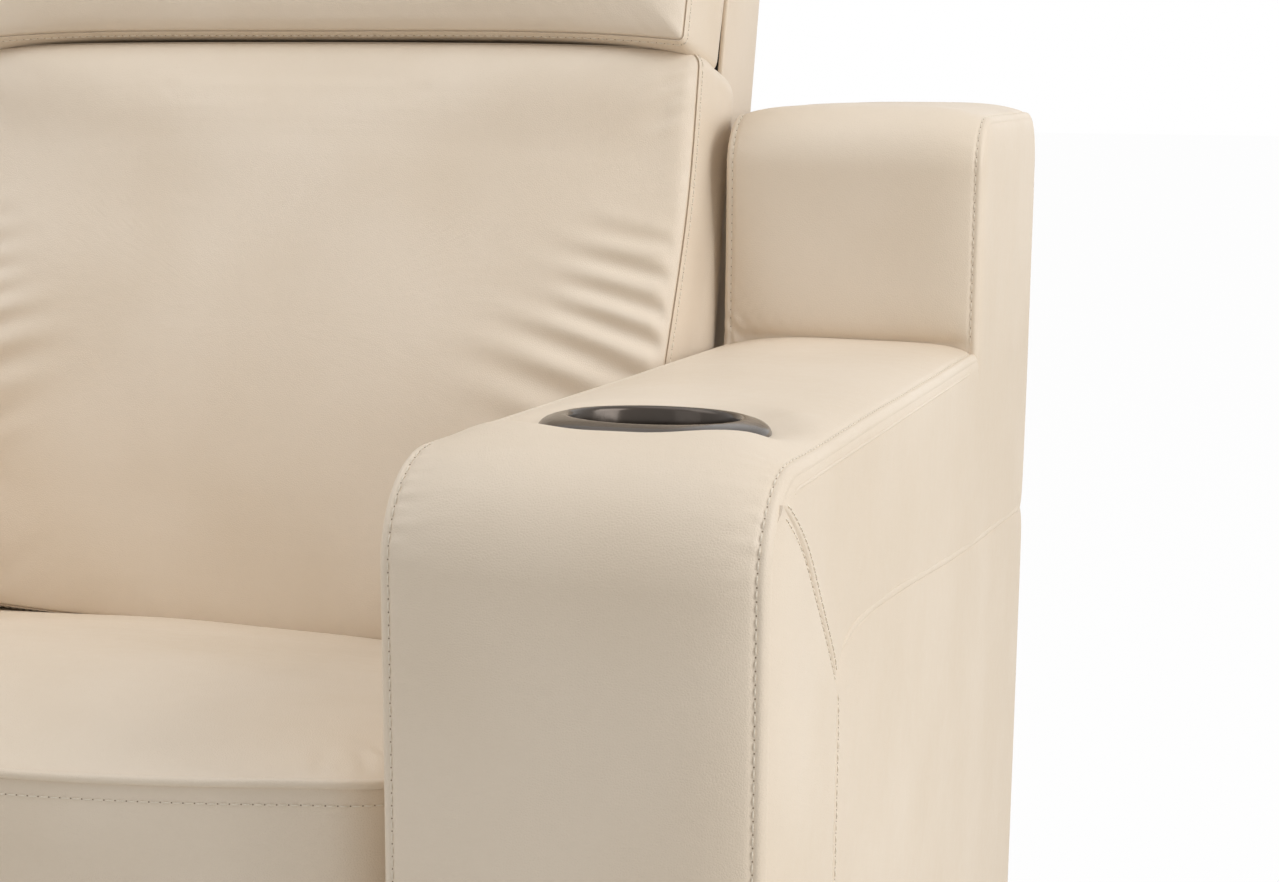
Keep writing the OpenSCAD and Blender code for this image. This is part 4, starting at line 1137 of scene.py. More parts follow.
    def top_path(self) -> tuple[Array, Array, Array]:
        """Line of the wrapped top pad in the side plane.

        Returns:
            Its points, its normals and its crown at each point.
        """
        s = self.shape
        centre = s.roll_centre
        z = stations(s.base, (s.base + 0.03, 3 * MM), (0.40, 8 * MM), (centre[1], 3 * MM))
        front = np.stack([np.full(len(z), s.front), z], axis=1)
        turn = np.linspace(180.0, s.roll_end, 38)[1:]
        bend = arc(centre, s.roll, 180.0, s.roll_end, 38)[1:]
        y = stations(centre[0], (s.ring_y + 0.085, 2.6 * MM), (s.block_front - 0.02, 7 * MM),
                     (s.block_front + 0.022, 4 * MM))[1:]
        back = np.stack([y, s.top(y)], axis=1)
        slope = math.atan2(s.rear_top - s.front_top, s.block_reach)
        normals = np.vstack([np.tile([-1.0, 0.0], (len(z), 1)), headings(turn),
                             np.tile([-math.sin(slope), math.cos(slope)], (len(y), 1))])
        crown = np.concatenate([np.full(len(z), s.front_crown),
                                np.linspace(s.front_crown, s.top_crown, len(turn)),
                                np.full(len(y), s.top_crown)])
        return np.vstack([front, bend, back]), normals, crown

    def wrapped(self, path: Array, normals: Array, offset: Array, x: Array,
                depth: float) -> tuple[Array, Array, Array]:
        """Outer and inner nets of a panel wrapped along a path.

        Args:
            path: Points in the side plane.
            normals: Their normals.
            offset: Height over the path at each row and column.
            x: Columns, as distance from the arm's middle.
            depth: Thickness of the padding.

        Returns:
            Outer net, inner net and surface coordinates.
        """
        s = self.shape
        outer = np.zeros((len(path), len(x), 3))
        outer[:, :, 0] = s.middle + x[None, :]
        outer[:, :, 1] = path[:, 0, None] + normals[:, 0, None] * offset
        outer[:, :, 2] = path[:, 1, None] + normals[:, 1, None] * offset
        inner = outer.copy()
        inner[:, :, 0] = s.middle + x[None, :] * (1.0 - self.PADDING_DRAW / s.half)
        under = np.minimum(offset, 0.0) - depth
        inner[:, :, 1] = path[:, 0, None] + normals[:, 0, None] * under
        inner[:, :, 2] = path[:, 1, None] + normals[:, 1, None] * under
        uv = np.stack(np.broadcast_arrays(x[None, :], run_length(path)[:, None]), axis=2)
        return outer, inner, uv

    def edge_rows(self, name: str, outer: Array, normals: Array, x: Array, rows: slice) -> None:
        """Sew a row of stitches beside each side seam of a wrapped panel.

        Args:
            name: The panel's part in the rows' names.
            outer: Its outer net.
            normals: Normals of its path in the side plane.
            x: Its columns, as distance from the arm's middle.
            rows: Which rows of the net are sewn.
        """
        slant = net_normals(outer)
        facing = slant[:, :, 1:2] * normals[:, None, 0:1] + slant[:, :, 2:3] * normals[:, None, 1:2]
        slant = slant * np.sign(facing)
        for word, sign in (("inner", -1.0), ("outer", 1.0)):
            column = int(np.argmin(np.abs(x - sign * (self.shape.half - STITCH_INSET))))
            self.row(f"{name}_{word}_stitches", outer[rows, column], slant[rows, column])

    def top_relief(self, path: Array, crown: Array, x: Array) -> tuple[Array, Array]:
        """Relief of the wrapped top: crown, seams, gathers on the roll, crest and dish round the cup.

        Args:
            path: The pad's line in the side plane.
            crown: Its crown at each point.
            x: Columns, as distance from the arm's middle.

        Returns:
            Height over the path, and which cells are covered.
        """
        s = self.shape
        grid_x, grid_s = np.broadcast_arrays(x[None, :], run_length(path)[:, None])
        depth_y = np.broadcast_to(path[:, 0, None], grid_x.shape)
        gap = s.half - np.abs(grid_x)
        roll_start = s.roll_centre[1] - s.base
        roll_end = roll_start + s.roll * math.radians(180.0 - s.roll_end)
        past_roll = ease(grid_s, roll_end - 0.01, roll_end + 0.03)
        on_roll = ease(grid_s, roll_start - 0.03, roll_start + 0.03) * (1.0 - past_roll)
        on_top = ease(grid_s, roll_end - 0.02, roll_end + 0.01)

        offset = crown[:, None] * self.crown(grid_x, 3.0, 5.5) + self.edge_profile(grid_x)
        offset = offset + 0.35 * MM * ripples(grid_x, grid_s, 0.13, 3)
        gathers = self.GATHERS * np.exp(-np.maximum(gap - 7 * MM, 0.0) / (11 * MM))
        gathers = gathers * ease(gap, 3 * MM, 8 * MM)
        offset = offset + on_roll * gathers * ripples(grid_x * 0.35, grid_s, 0.009, 5)
        below = bell(grid_s, roll_start - 0.045, 0.055) * ease(gap, 4 * MM, 10 * MM)
        below = below * np.exp(-gap / (24 * MM))
        offset = offset + 0.3 * MM * below * ripples(grid_x, grid_s, 0.011, 8) * (grid_x < 0)

        crest = bell(depth_y, s.ring_y - 0.062, 0.02) * ease(gap, 0.0, 0.03)
        offset = offset + self.CREST * crest * on_top
        reach = np.hypot(grid_x, depth_y - s.ring_y)
        offset = offset - self.DISH * ((1.0 - ease(reach, *self.DISH_REACH)) * on_top)
        pinch = bell(reach, 0.064, 0.010) * on_top
        turn = np.arctan2(depth_y - s.ring_y, grid_x)
        offset = offset + 0.35 * MM * pinch * np.cos(9.0 * turn + 1.3)
        middle = 0.25 * (reach[1:, 1:] + reach[:-1, 1:] + reach[1:, :-1] + reach[:-1, :-1])
        return offset, (middle > self.CUP_HOLE) | (on_top[1:, 1:] < 0.5)

    def top_pad(self) -> None:
        """Front and top of the arm in one wrapped panel, dished round the cup holder, with its stitching."""
        path, normals, crown = self.top_path()
        x = edge_stations(self.shape.half, 3.0 * MM)
        offset, keep = self.top_relief(path, crown, x)
        outer, inner, uv = self.wrapped(path, normals, offset, x, self.TOP_PADDING)
        self.piece("arm_wrapped_top", outer, inner, uv, keep, ["arm_top_pad"], "cushion_leather")
        last = int(np.argmin(np.abs(path[:, 0] - (self.shape.block_front - 0.004))))
        self.edge_rows("arm_top", outer, normals, x, slice(2, last))

    def block_path(self) -> tuple[Array, Array]:
        """Line of the rear block's wrapped panel in the side plane.

        Returns:
            Its points and its normals.
        """
        s = self.shape
        start = float(s.top(s.block_front)) - 0.008
        front_centre = (s.block_front + s.block_front_roll, s.block_top - s.block_front_roll)
        rear_centre = (s.block_rear - s.block_rear_roll, s.block_top - s.block_rear_roll)
        z = stations(start, (start + 0.03, 1.8 * MM), (front_centre[1], 5 * MM))
        y = stations(front_centre[0], (rear_centre[0], 7 * MM))[1:]
        down = stations(rear_centre[1], (s.block_hem + 0.004, 6 * MM), (s.block_hem, 2 * MM))[1:]
        path = np.vstack([np.stack([np.full(len(z), s.block_front), z], axis=1),
                          arc(front_centre, s.block_front_roll, 180.0, 90.0, 20)[1:],
                          np.stack([y, np.full(len(y), s.block_top)], axis=1),
                          arc(rear_centre, s.block_rear_roll, 90.0, 0.0, 16)[1:],
                          np.stack([np.full(len(down), s.block_rear), down], axis=1)])
        turn = np.concatenate([np.full(len(z), 180.0), np.linspace(180.0, 90.0, 20)[1:],
                               np.full(len(y), 90.0), np.linspace(90.0, 0.0, 16)[1:], np.zeros(len(down))])
        return path, headings(turn)

    def rear_block(self) -> None:
        """Raised block at the arm's rear, wrapped from its front over its top and down its back."""
        s = self.shape
        path, normals = self.block_path()
        x = edge_stations(s.half, 4.0 * MM)
        grid_x, grid_s = np.broadcast_arrays(x[None, :], run_length(path)[:, None])
        gap = s.half - np.abs(grid_x)
        offset = self.BLOCK_CROWN * self.crown(grid_x, 4.2, 4.6) + self.edge_profile(grid_x)
        foot = grid_s - self.BLOCK_SEAM_RISE
        offset = offset - self.BLOCK_FOOT * np.exp(-np.maximum(foot, 0.0) / (7 * MM)) * ease(gap, 0.0, 0.02)
        offset = offset + 0.4 * MM * ripples(grid_x, grid_s, 0.11, 21)
        corner = bell(np.hypot(grid_x + s.half - 0.02, foot - 0.01), 0.0, 0.03)
        offset = offset + 0.7 * MM * corner * np.cos((grid_x + foot * 0.8) * math.tau / 0.012)
        bend_middle = 0.5 * (s.block_top - s.block_front_roll - path[0, 1]) + 0.5 * s.block_front_roll
        gathers = bell(grid_s, bend_middle + 0.07, 0.03) * np.exp(-gap / (14 * MM))
        offset = offset + 0.35 * MM * gathers * ripples(grid_x * 0.3, grid_s, 0.009, 23)
        outer, inner, uv = self.wrapped(path, normals, offset, x, self.BLOCK_PADDING)
        self.piece("arm_wrapped_block", outer, inner, uv, None, ["arm_rear_block"], "cushion_leather")
        self.edge_rows("arm_block", outer, normals, x, slice(9, -2))

    def side_height(self, points: Array, borders: Sequence[tuple[Array, float, float]], base: float) -> Array:
        """Distance of a side panel's leather from the arm's middle.

        Args:
            points: Points in the side plane.
            borders: Seam lines, how far the leather sinks at each, and over what length.
            base: Its x away from all seams.

        Returns:
            x at each point.
        """
        x = np.full(points.shape[:-1], base)
        for line, sink, reach in borders:
            x = x - sink * np.exp(-line_gap(points, line) / reach)
        return x

    def groove(self, gap: Array) -> Array:
        """How far a panel's folded edge turns in at its seam."""
        return 1.2 * MM * np.exp(-(gap / (0.8 * MM)) ** 2)

    def strip_x(self, flat: Array) -> Array:
        """x of the padded front strip's leather.

        Args:
            flat: Points in the side plane.

        Returns:
            x at each point.
        """
        s = self.shape
        gap = line_gap(flat, self.strip_seam)
        from_ridge = line_gap(flat, s.ridge(s.base, s.strip_angle))
        x = s.outer_x - 1.2 * MM + self.STRIP_SWELL * (1.0 - np.exp(-from_ridge / (19 * MM)))
        x = x - (x - s.outer_x - self.STRIP_SEAM_RISE) * np.exp(-(gap / (8 * MM)) ** 1.4)
        return x + 0.25 * MM * ripples(flat[..., 0], flat[..., 1], 0.09, 31) * ease(gap, 0.0, 0.01)

    def upper_x(self, flat: Array) -> Array:
        """x of the upper side panel's leather.

        Args:
            flat: Points in the side plane.

        Returns:
            x at each point.
        """
        x = self.side_height(flat, [(self.welt_line, 1.2 * MM, 9 * MM), (self.top_edge, 3.4 * MM, 5 * MM),
                                    (self.rear_edge, 4.5 * MM, 5 * MM)],
                           self.shape.outer_x + self.UPPER_SWELL)
        waves = ripples(flat[..., 0], flat[..., 1] * 0.5, 0.10, 35)
        x = x + 0.4 * MM * waves * ease(line_gap(flat, self.top_edge), 0.0, 0.03)
        return x - self.groove(line_gap(flat, self.curved_seam))

    def lower_x(self, flat: Array) -> Array:
        """x of the lower side panel's leather.

        Args:
            flat: Points in the side plane.

        Returns:
            x at each point.
        """
        s = self.shape
        hem = segment((s.front, s.base), (s.block_rear, s.base))
        x = self.side_height(flat, [(self.welt_line, 2.2 * MM, 8 * MM), (self.rear_edge, 4.5 * MM, 5 * MM),
                                    (hem, 3.0 * MM, 5 * MM)], s.outer_x + self.LOWER_SWELL)
        folds = ripples(flat[..., 0], flat[..., 1] * 0.18, 0.085, 41)
        gap = line_gap(flat, self.strip_seam)
        x = x + 0.3 * MM * folds * ease(np.minimum(gap, line_gap(flat, self.welt_line)), 0.0, 0.05)
        return x - self.groove(gap)

    def flat_piece(self, name: str, flat: Array, height: Array, nodes: Sequence[str] = (),
                   thick: float = PANEL_PADDING) -> Object:
        """Make a side panel from its flat net and its leather's x.

        Args:
            name: The piece's name, without its side.
            flat: Points in the side plane.
            height: x at each point.
            nodes: Node names that it stands for.
            thick: How deep its padding goes.

        Returns:
            The panel.
        """
        s = self.shape
        outer = np.concatenate([height[..., None], flat], axis=2)
        inner = outer.copy()
        sign = 1.0 if height.mean() > s.middle else -1.0
        inner[..., 0] = (s.outer_x if sign > 0 else s.inner_x) - sign * thick
        inner[[0, -1], :, 0] = outer[[0, -1], :, 0] - sign * self.BORDER_PADDING
        inner[:, [0, -1], 0] = outer[:, [0, -1], 0] - sign * self.BORDER_PADDING
        return self.piece(name, outer, inner, flat, None, nodes)

    def outer_side(self) -> None:
        """Outer side in three sewn panels: a padded front strip, an upper and a lower panel."""
        s = self.shape
        ridge = s.ridge(s.base, s.strip_angle)
        knee = len(ridge) - 30
        left_low, left_high = ridge[:knee], ridge[knee - 1:]
        first, second = joined([(left_low, self.upright_seam, 70), (left_high, self.curved_seam[::-1], 70)])
        flat = ruled(first + np.array([1.5 * MM, 0.0]), second + np.array([-0.2 * MM, 0.0]), 18)
        self.flat_piece("arm_side_strip", flat, self.strip_x(flat), ["arm_front_strip"])

        top = s.top_line(s.seam_angle)
        welt, y = self.welt_line, self.welt_line[:, 0]
        front, over, rear = s.block_lines()
        low, high = joined([
            (self.curved_seam, top[:40], 70), (welt[y < 0.150], top[39:], 80),
            (welt[(y >= 0.144) & (y < 0.176)], front, 46), (welt[(y >= 0.170) & (y < 0.396)], over, 34),
            (welt[y >= 0.390], rear, 16)])
        flat = ruled(low, high, 22)
        self.flat_piece("arm_side_upper", flat, self.upper_x(flat))

        y = stations(-0.3035, (-0.2945, 0.9 * MM), (-0.27, 3 * MM), (0.405, 11 * MM), (0.426, 4 * MM),
                     (s.block_rear, 1.1 * MM))
        bottom = np.stack([y, np.full(len(y), s.base)], axis=1)
        above = np.stack([np.maximum(y, self.JUNCTION[0]), np.interp(y, welt[:, 0], welt[:, 1])], axis=1)
        flat = ruled(bottom, above, 26)
        self.flat_piece("arm_side_lower", flat, self.lower_x(flat), ["arm_outer_panel"])
        self.side_seams()

    def side_seams(self) -> None:
        """Welt, double topstitching and upright stitching on the outer side."""
        s = self.shape
        out = np.array([[1.0, 0.0, 0.0]])

        def on_side(line: Array, x: Array) -> Array:
            """A line of the side plane at its own x."""
            return np.column_stack([x, line])

        def beside(line: Array, gap: float) -> Array:
            """A line moved to its right by a gap."""
            way = unit(np.gradient(line, axis=0))
            return line + np.stack([way[:, 1], -way[:, 0]], axis=1) * gap

        def sewn(name: str, line: Array, height: Callable[[Array], Array]) -> None:
            """Sew a row along a line of a side panel."""
            normals = np.repeat(out, len(line), axis=0)
            self.row(f"arm_side_{name}_stitches", on_side(line, height(line)), normals)

        welt = self.welt_line[1:-3]
        lap = beside(s.top_line(124.0)[6:-2], self.LAP_GAP)
        welt_x, lap_x = np.full(len(welt), s.outer_x - self.WELT_SUNK), self.upper_x(lap) - self.LAP_SUNK
        for word, line, x, radius in (("welt", welt, welt_x, self.WELT_RADIUS),
                                      ("lap", lap, lap_x, self.LAP_RADIUS)):
            ends = np.arange(len(line), dtype=float)
            x = x - 3.0 * MM * (1.0 - ease(np.minimum(ends, ends[::-1]), 0.0, 3.0))
            roll = tube(f"{self.side.word}_arm_side_{word}", self.put(on_side(line, x)), radius, 10)
            finish_piece(roll, self.dress.side_leather, "base")
        curve = self.curved_seam[3:-1]
        sewn("curve_rear", beside(curve, -self.CURVE_STITCH_GAP), self.upper_x)
        sewn("curve_front", beside(curve, self.CURVE_STITCH_GAP), self.strip_x)
        upright = even_line(self.upright_seam, 60)[1:-1]
        sewn("upright_front", upright + np.array([-5.0 * MM, 0.0]), self.strip_x)
        sewn("upright_rear", upright + np.array([4.0 * MM, 0.0]), self.lower_x)

    def inner_side(self) -> None:
        """Inner side, one soft panel from the floor edge to the top seams."""
        s = self.shape
        top = s.top_line(s.seam_angle)
        foot = (s.front + 0.002, -0.405, 0.150, 0.176, 0.394, s.block_rear)
        above = [s.ridge(0.30, s.seam_angle), top, *s.block_lines()]
        low, high = joined([(segment((foot[i], s.base), (foot[i + 1], s.base)), above[i], count)
                            for i, count in enumerate((60, 90, 36, 26, 16))])
        flat = ruled(low, high, 30)
        edge = np.vstack([s.ridge(s.base, s.seam_angle), top, *s.block_lines(),
                          segment((s.block_rear, s.block_top - 0.05), (s.block_rear, s.base))])
        gap = line_gap(flat, edge)
        bulge = self.INNER_SWELL * (1.0 - np.exp(-gap / (16 * MM))) - 1.0 * MM * np.exp(-gap / (2 * MM))
        bulge = bulge + 0.4 * MM * ripples(flat[..., 0], flat[..., 1] * 0.5, 0.10, 51) * ease(gap, 0.0, 0.03)
        from_switch = np.hypot(flat[..., 0] - self.SWITCH_AT[0], flat[..., 1] - self.SWITCH_AT[1])
        switch = bell(from_switch, 0.0, 0.06)
        height = s.inner_x - bulge * (1.0 - switch) + 0.2 * MM
        self.flat_piece("arm_inner_side", flat, height, ["arm_inner_panel"], self.INNER_PADDING)

    def rear_side(self) -> None:
        """Panel on the arm's rear, under the block's hem."""
        s = self.shape
        x = edge_stations(s.half - 4 * MM, 8.0 * MM) + s.middle
        z = stations(s.base, (s.base + 0.02, 2 * MM), (s.block_hem - 0.02, 12 * MM),
                     (s.block_hem - 0.6 * MM, 1.6 * MM))
        grid_x, grid_z = np.meshgrid(x, z)
        gap = np.minimum(np.minimum(grid_x - x[0], x[-1] - grid_x), np.minimum(grid_z - z[0], z[-1] - grid_z))
        y = s.block_rear - 3.0 * MM + self.REAR_SWELL * (1.0 - np.exp(-gap / (11 * MM)))
        y = y + 0.4 * MM * ripples(grid_x, grid_z, 0.1, 61)
        outer = np.stack([grid_x, y, grid_z], axis=2)
        inner = outer.copy()
        inner[..., 1] = s.block_rear - self.PANEL_PADDING
        uv = np.stack([grid_x, grid_z], axis=2)
        self.piece("arm_rear_side", outer, inner, uv, None, ["arm_rear_panel"])
        up = int(np.argmin(np.abs(z - (s.block_hem - 6.5 * MM))))
        line = outer[up, 5:-5] + np.array([0.0, 0.2 * MM, 0.0])
        self.row("arm_rear_stitches", line, np.repeat([[0.0, 1.0, 0.0]], len(line), axis=0))

    def build(self) -> None:
        """Make every piece of the cover."""
        self.top_pad()
        self.rear_block()
        self.outer_side()
        self.inner_side()
        self.rear_side()


# Cushions


@dataclass(frozen=True)
class Crease:
    """A soft fold in a cushion's face."""

    start: Pair
    angle: float
    length: float
    width: float
    depth: float
    bend: float = 0.0

    def sink(self, a: Array, b: Array) -> Array:
        """How far the face sinks at points of its plane.

        Args:
            a: First coordinate.
            b: Second coordinate.

        Returns:
            Depths, positive into the cushion, with soft shoulders beside the fold.
        """
        way = (math.cos(math.radians(self.angle)), math.sin(math.radians(self.angle)))
        da, db = a - self.start[0], b - self.start[1]
        along = da * way[0] + db * way[1]
        side = -da * way[1] + db * way[0] - self.bend * (along / self.length) ** 2
        share = np.clip(along / self.length, 0.0, 1.0)
        width = self.width * (1.0 + 1.1 * share)
        inside = ease(along, -0.004, 0.008) * (1.0 - ease(share, 0.35, 1.0))
        shape = np.exp(-(side / width) ** 2) - 0.55 * np.exp(-((np.abs(side) - 1.9 * width) / width) ** 2)
        return self.depth * inside * shape


@dataclass(frozen=True)
class Ring:
    """One ring of a boxed cushion: how far it is drawn in from the outline, and its height."""

    inset: float
    height: float


@dataclass
class BoxedCushion:
    """Stuffed cushion with a boxing strip round a crowned face, drawn in its own plane."""

    UNDER_INSETS: ClassVar[tuple[float, ...]] = (0.16, 0.10, 0.06, 0.034, 0.018)
    WIDE_INSET: ClassVar[float] = 0.03
    BOXING_FOOT: ClassVar[float] = 0.016
    BOXING_HEAD: ClassVar[float] = 0.040
    SEAM_WIDTH: ClassVar[float] = 1.1 * MM
    SEAM_SINK: ClassVar[float] = 1.6 * MM
    FACE_ROW: ClassVar[float] = 0.0029
    FACE_MARGIN: ClassVar[float] = 0.004
    PIPE_RISE: ClassVar[float] = 1.7

    name: str
    half_a: float
    half_b: float
    depth: float
    crown: float
    corner: float
    bow: float
    seam_inset: float
    nodes: tuple[str, ...]
    body: str
    place: Callable[[Array], Array]
    power: float = 2.6
    low_power: float = 2.6
    high_power: float = 2.6
    puff: float = 0.006
    boxing_bulge: float = 0.004
    around: int = 560
    fill: float = 0.75
    creases: tuple[Crease, ...] = ()
    underside: Optional[Callable[[Array, Array, Array], Array]] = None
    face_shift: Optional[Callable[[Array, Array], Array]] = None
    seed: int = 1
    net: Array = field(default_factory=lambda: np.zeros(0))
    normals: Array = field(default_factory=lambda: np.zeros(0))
    seam_row: int = 0
    step: float = 0.0

    def outline(self) -> tuple[Array, Array]:
        """Rounded outline with bowed sides.

        Returns:
            Its points and outward normals.
        """
        a, b, r = self.half_a - self.bow, self.half_b - self.bow, self.corner
        points: list[Pair] = []
        for sa, sb, start in ((1, 1, 0), (-1, 1, 90), (-1, -1, 180), (1, -1, 270)):
            centre = (sa * (a - r), sb * (b - r))
            points.extend(map(tuple, arc(centre, r, start, start + 90, 16).tolist()))
        ring = even_line(np.array(points + points[:1]), self.around + 1)[:-1]
        x, y = ring.T
        bowed = np.stack([np.sign(x) * np.clip(1 - (y / b) ** 2, 0, 1) * (np.abs(x) > a - r),
                          np.sign(y) * np.clip(1 - (x / a) ** 2, 0, 1) * (np.abs(y) > b - r)], axis=1)
        ring = ring + self.bow * bowed
        self.step = float(np.linalg.norm(ring[1] - ring[0]))
        way = unit(np.roll(ring, -1, axis=0) - np.roll(ring, 1, axis=0))
        return ring, np.stack([way[:, 1], -way[:, 0]], axis=1)

    def rings(self) -> list[Ring]:
        """Rings from the rear's middle round the boxing to the face's seam."""
        d = self.depth
        out = [Ring(inset, 0.0) for inset in self.UNDER_INSETS]
        out += [Ring(0.010, 0.002), Ring(0.004, 0.006), Ring(0.001, 0.012)]
        for share in np.linspace(0.0, 1.0, 16):
            height = self.BOXING_FOOT + (d - self.BOXING_HEAD - self.BOXING_FOOT) * share
            out.append(Ring(-self.boxing_bulge * math.sin(math.pi * share), height))
        for gap in (30, 22, 16, 12, 9, 7, 5.4, 4.2, 3.2, 2.3, 1.5, 0.8, 0.3):
            share = 1.0 - gap / 40.0
            out.append(Ring(self.seam_inset * share ** 1.7, d - gap * MM))
        self.seam_row = len(out)
        out.append(Ring(self.seam_inset + self.SEAM_WIDTH, d - self.SEAM_SINK))
        return out

    def face_gaps(self) -> Array:
        """Distances of the face's rings from its seam."""
        small = min(self.half_a, self.half_b) - self.seam_inset
        near = np.array([0.5, 1.1, 1.8, 2.7, 3.8, 5.1, 6.6, 8.4, 10.6, 13.2, 16.2, 19.6, 23.4]) * MM
        count = int((small - near[-1] - self.FACE_MARGIN) / self.FACE_ROW)
        far = np.linspace(near[-1] + self.FACE_MARGIN, small - self.FACE_MARGIN, count)
        return np.concatenate([near, far])

    def build(self, dress: Finishes, simulate: bool) -> Object:
        """Model the cushion, swell it, crease it and dress it.

        Args:
            dress: The chair's finishes.
            simulate: Whether the stuffing's pressure is simulated.

        Returns:
            The cushion.
        """
        net, gap = self.flat_net()
        face = gap >= 0
        a, b = net[..., 0], net[..., 1]
        side = np.clip(np.abs(a) / (self.half_a - self.seam_inset), 0, 1)
        rise = np.clip(np.abs(b) / (self.half_b - self.seam_inset), 0, 1)
        rise = rise ** np.where(b < 0, self.low_power, self.high_power)
        dome = self.crown * (1.0 - side ** self.power) * (1.0 - rise)
        dome = np.where(face, dome + self.puff * (1.0 - np.exp(-np.maximum(gap, 0.0) / (9 * MM))), 0.0)
        net[..., 2] += dome
        if self.face_shift is not None:
            net[..., 2] += self.face_shift(a, b) * np.clip(net[..., 2] / self.depth, 0.0, 1.0)
        if self.underside is not None:
            net = self.underside(net, a, b)
        if simulate:
            net = net + Stuffing().swollen(self.name, net, gap, self.depth)
        net = self.detail(net, gap)
        self.net = self.place(net)
        return self.skin(dress, net)

    def flat_net(self) -> tuple[Array, Array]:
        """Net of the cushion before its face rises.

        Returns:
            The net, and each point's distance from the face's seam, negative off the face.
        """
        ring, out = self.outline()
        rows, gaps = [], []
        for r in self.rings():
            flat = ring - out * r.inset
            if r.inset > self.WIDE_INSET:
                flat = ring * (1.0 - r.inset / min(self.half_a, self.half_b))
            rows.append(np.column_stack([flat, np.full(len(ring), r.height)]))
            gaps.append(OFF_FACE)
        seam = ring - out * (self.seam_inset + self.SEAM_WIDTH)
        reach = np.abs(seam).max(axis=0)
        closing = np.where(reach > reach.min(), 1.0, 0.0)
        for gap in self.face_gaps():
            share = (gap / reach.min()) ** 5
            rows.append(np.column_stack([seam * (1.0 - gap / reach) * (1.0 - closing * share),
                                         np.full(len(ring), self.depth)]))
            gaps.append(gap)
        return np.stack(rows), np.array(gaps)[:, None] * np.ones(len(ring))[None, :]

    def detail(self, net: Array, gap: Array) -> Array:
        """Add gathers at the seams, creases and soft unevenness.

        Args:
            net: The cushion's net in its own plane.
            gap: Distance from the face's seam, negative off the face.

        Returns:
            The detailed net.
        """
        face = gap >= 0
        a, b = net[..., 0], net[..., 1]
        along = np.arange(net.shape[1])[None, :] * self.step
        sink = np.zeros(a.shape)
        for crease in self.creases:
            sink = sink + crease.sink(a, b)
        sink = sink * ease(gap, 0.0, 0.010)
        near = np.exp(-np.maximum(gap, 0.0) / (13 * MM)) * ease(gap, 0.0, 0.003)
        gathers = 0.28 * MM * near * ripples(along + 0 * gap, gap * 0.5, 0.013, self.seed)
        slow = 0.9 * MM * ripples(a, b, 0.17, self.seed + 7) * ease(gap, 0.0, 0.05)
        net = net.copy()
        net[..., 2] += np.where(face, gathers + slow - sink, 0.0)
        return net

    def skin(self, dress: Finishes, flat: Array) -> Object:
        """Close the net at both middles and make it a piece.

        Args:
            dress: The chair's finishes.
            flat: The net in the cushion's own plane.

        Returns:
            The cushion.
        """
        rows, cols = self.net.shape[:2]
        points = np.vstack([self.net.reshape(-1, 3), self.net[0].mean(axis=0), self.net[-1].mean(axis=0)])
        faces = wrap_faces(rows, cols)
        for j in range(cols):
            k = (j + 1) % cols
            faces.append((rows * cols, k, j))
            faces.append((rows * cols + 1, (rows - 1) * cols + j, (rows - 1) * cols + k))
        piece = new_object(self.name, points, faces)
        uv = flat[..., :2]
        set_uv(piece, np.vstack([uv.reshape(-1, 2), uv[0].mean(axis=0), uv[-1].mean(axis=0)]))
        around = np.concatenate([self.net[:, -1:], self.net, self.net[:, :1]], axis=1)
        slant = net_normals(around)[:, 1:-1]
        side = self.net[self.seam_row] - self.net.reshape(-1, 3).mean(axis=0)
        self.normals = slant if float((slant[self.seam_row] * side).sum()) >= 0 else -slant
        finish_piece(piece, dress.leather, self.body, self.nodes)
        return piece

    def stitch(self, dress: Finishes, thread: Thread, below: int) -> None:
        """Sew a row of stitches round the boxing.

        Args:
            dress: The chair's finishes.
            thread: The sewing thread.
            below: How many rings under the face's seam the row runs.
        """
        row = self.seam_row - below
        line, slant = (np.vstack([rows[row], rows[row][:1]]) for rows in (self.net, self.normals))
        thread.sew(f"{self.name}_boxing_stitches", line, slant, self.body, dress)

    def pipe(self, dress: Finishes, radius: float) -> None:
        """Lay piping along the face's seam.

        Args:
            dress: The chair's finishes.
            radius: The piping's radius.
        """
        line = self.net[self.seam_row] + self.normals[self.seam_row] * radius * self.PIPE_RISE
        roll = tube(f"{self.name}_piping", line, radius, 12, True)
        finish_piece(roll, dress.leather, self.body)


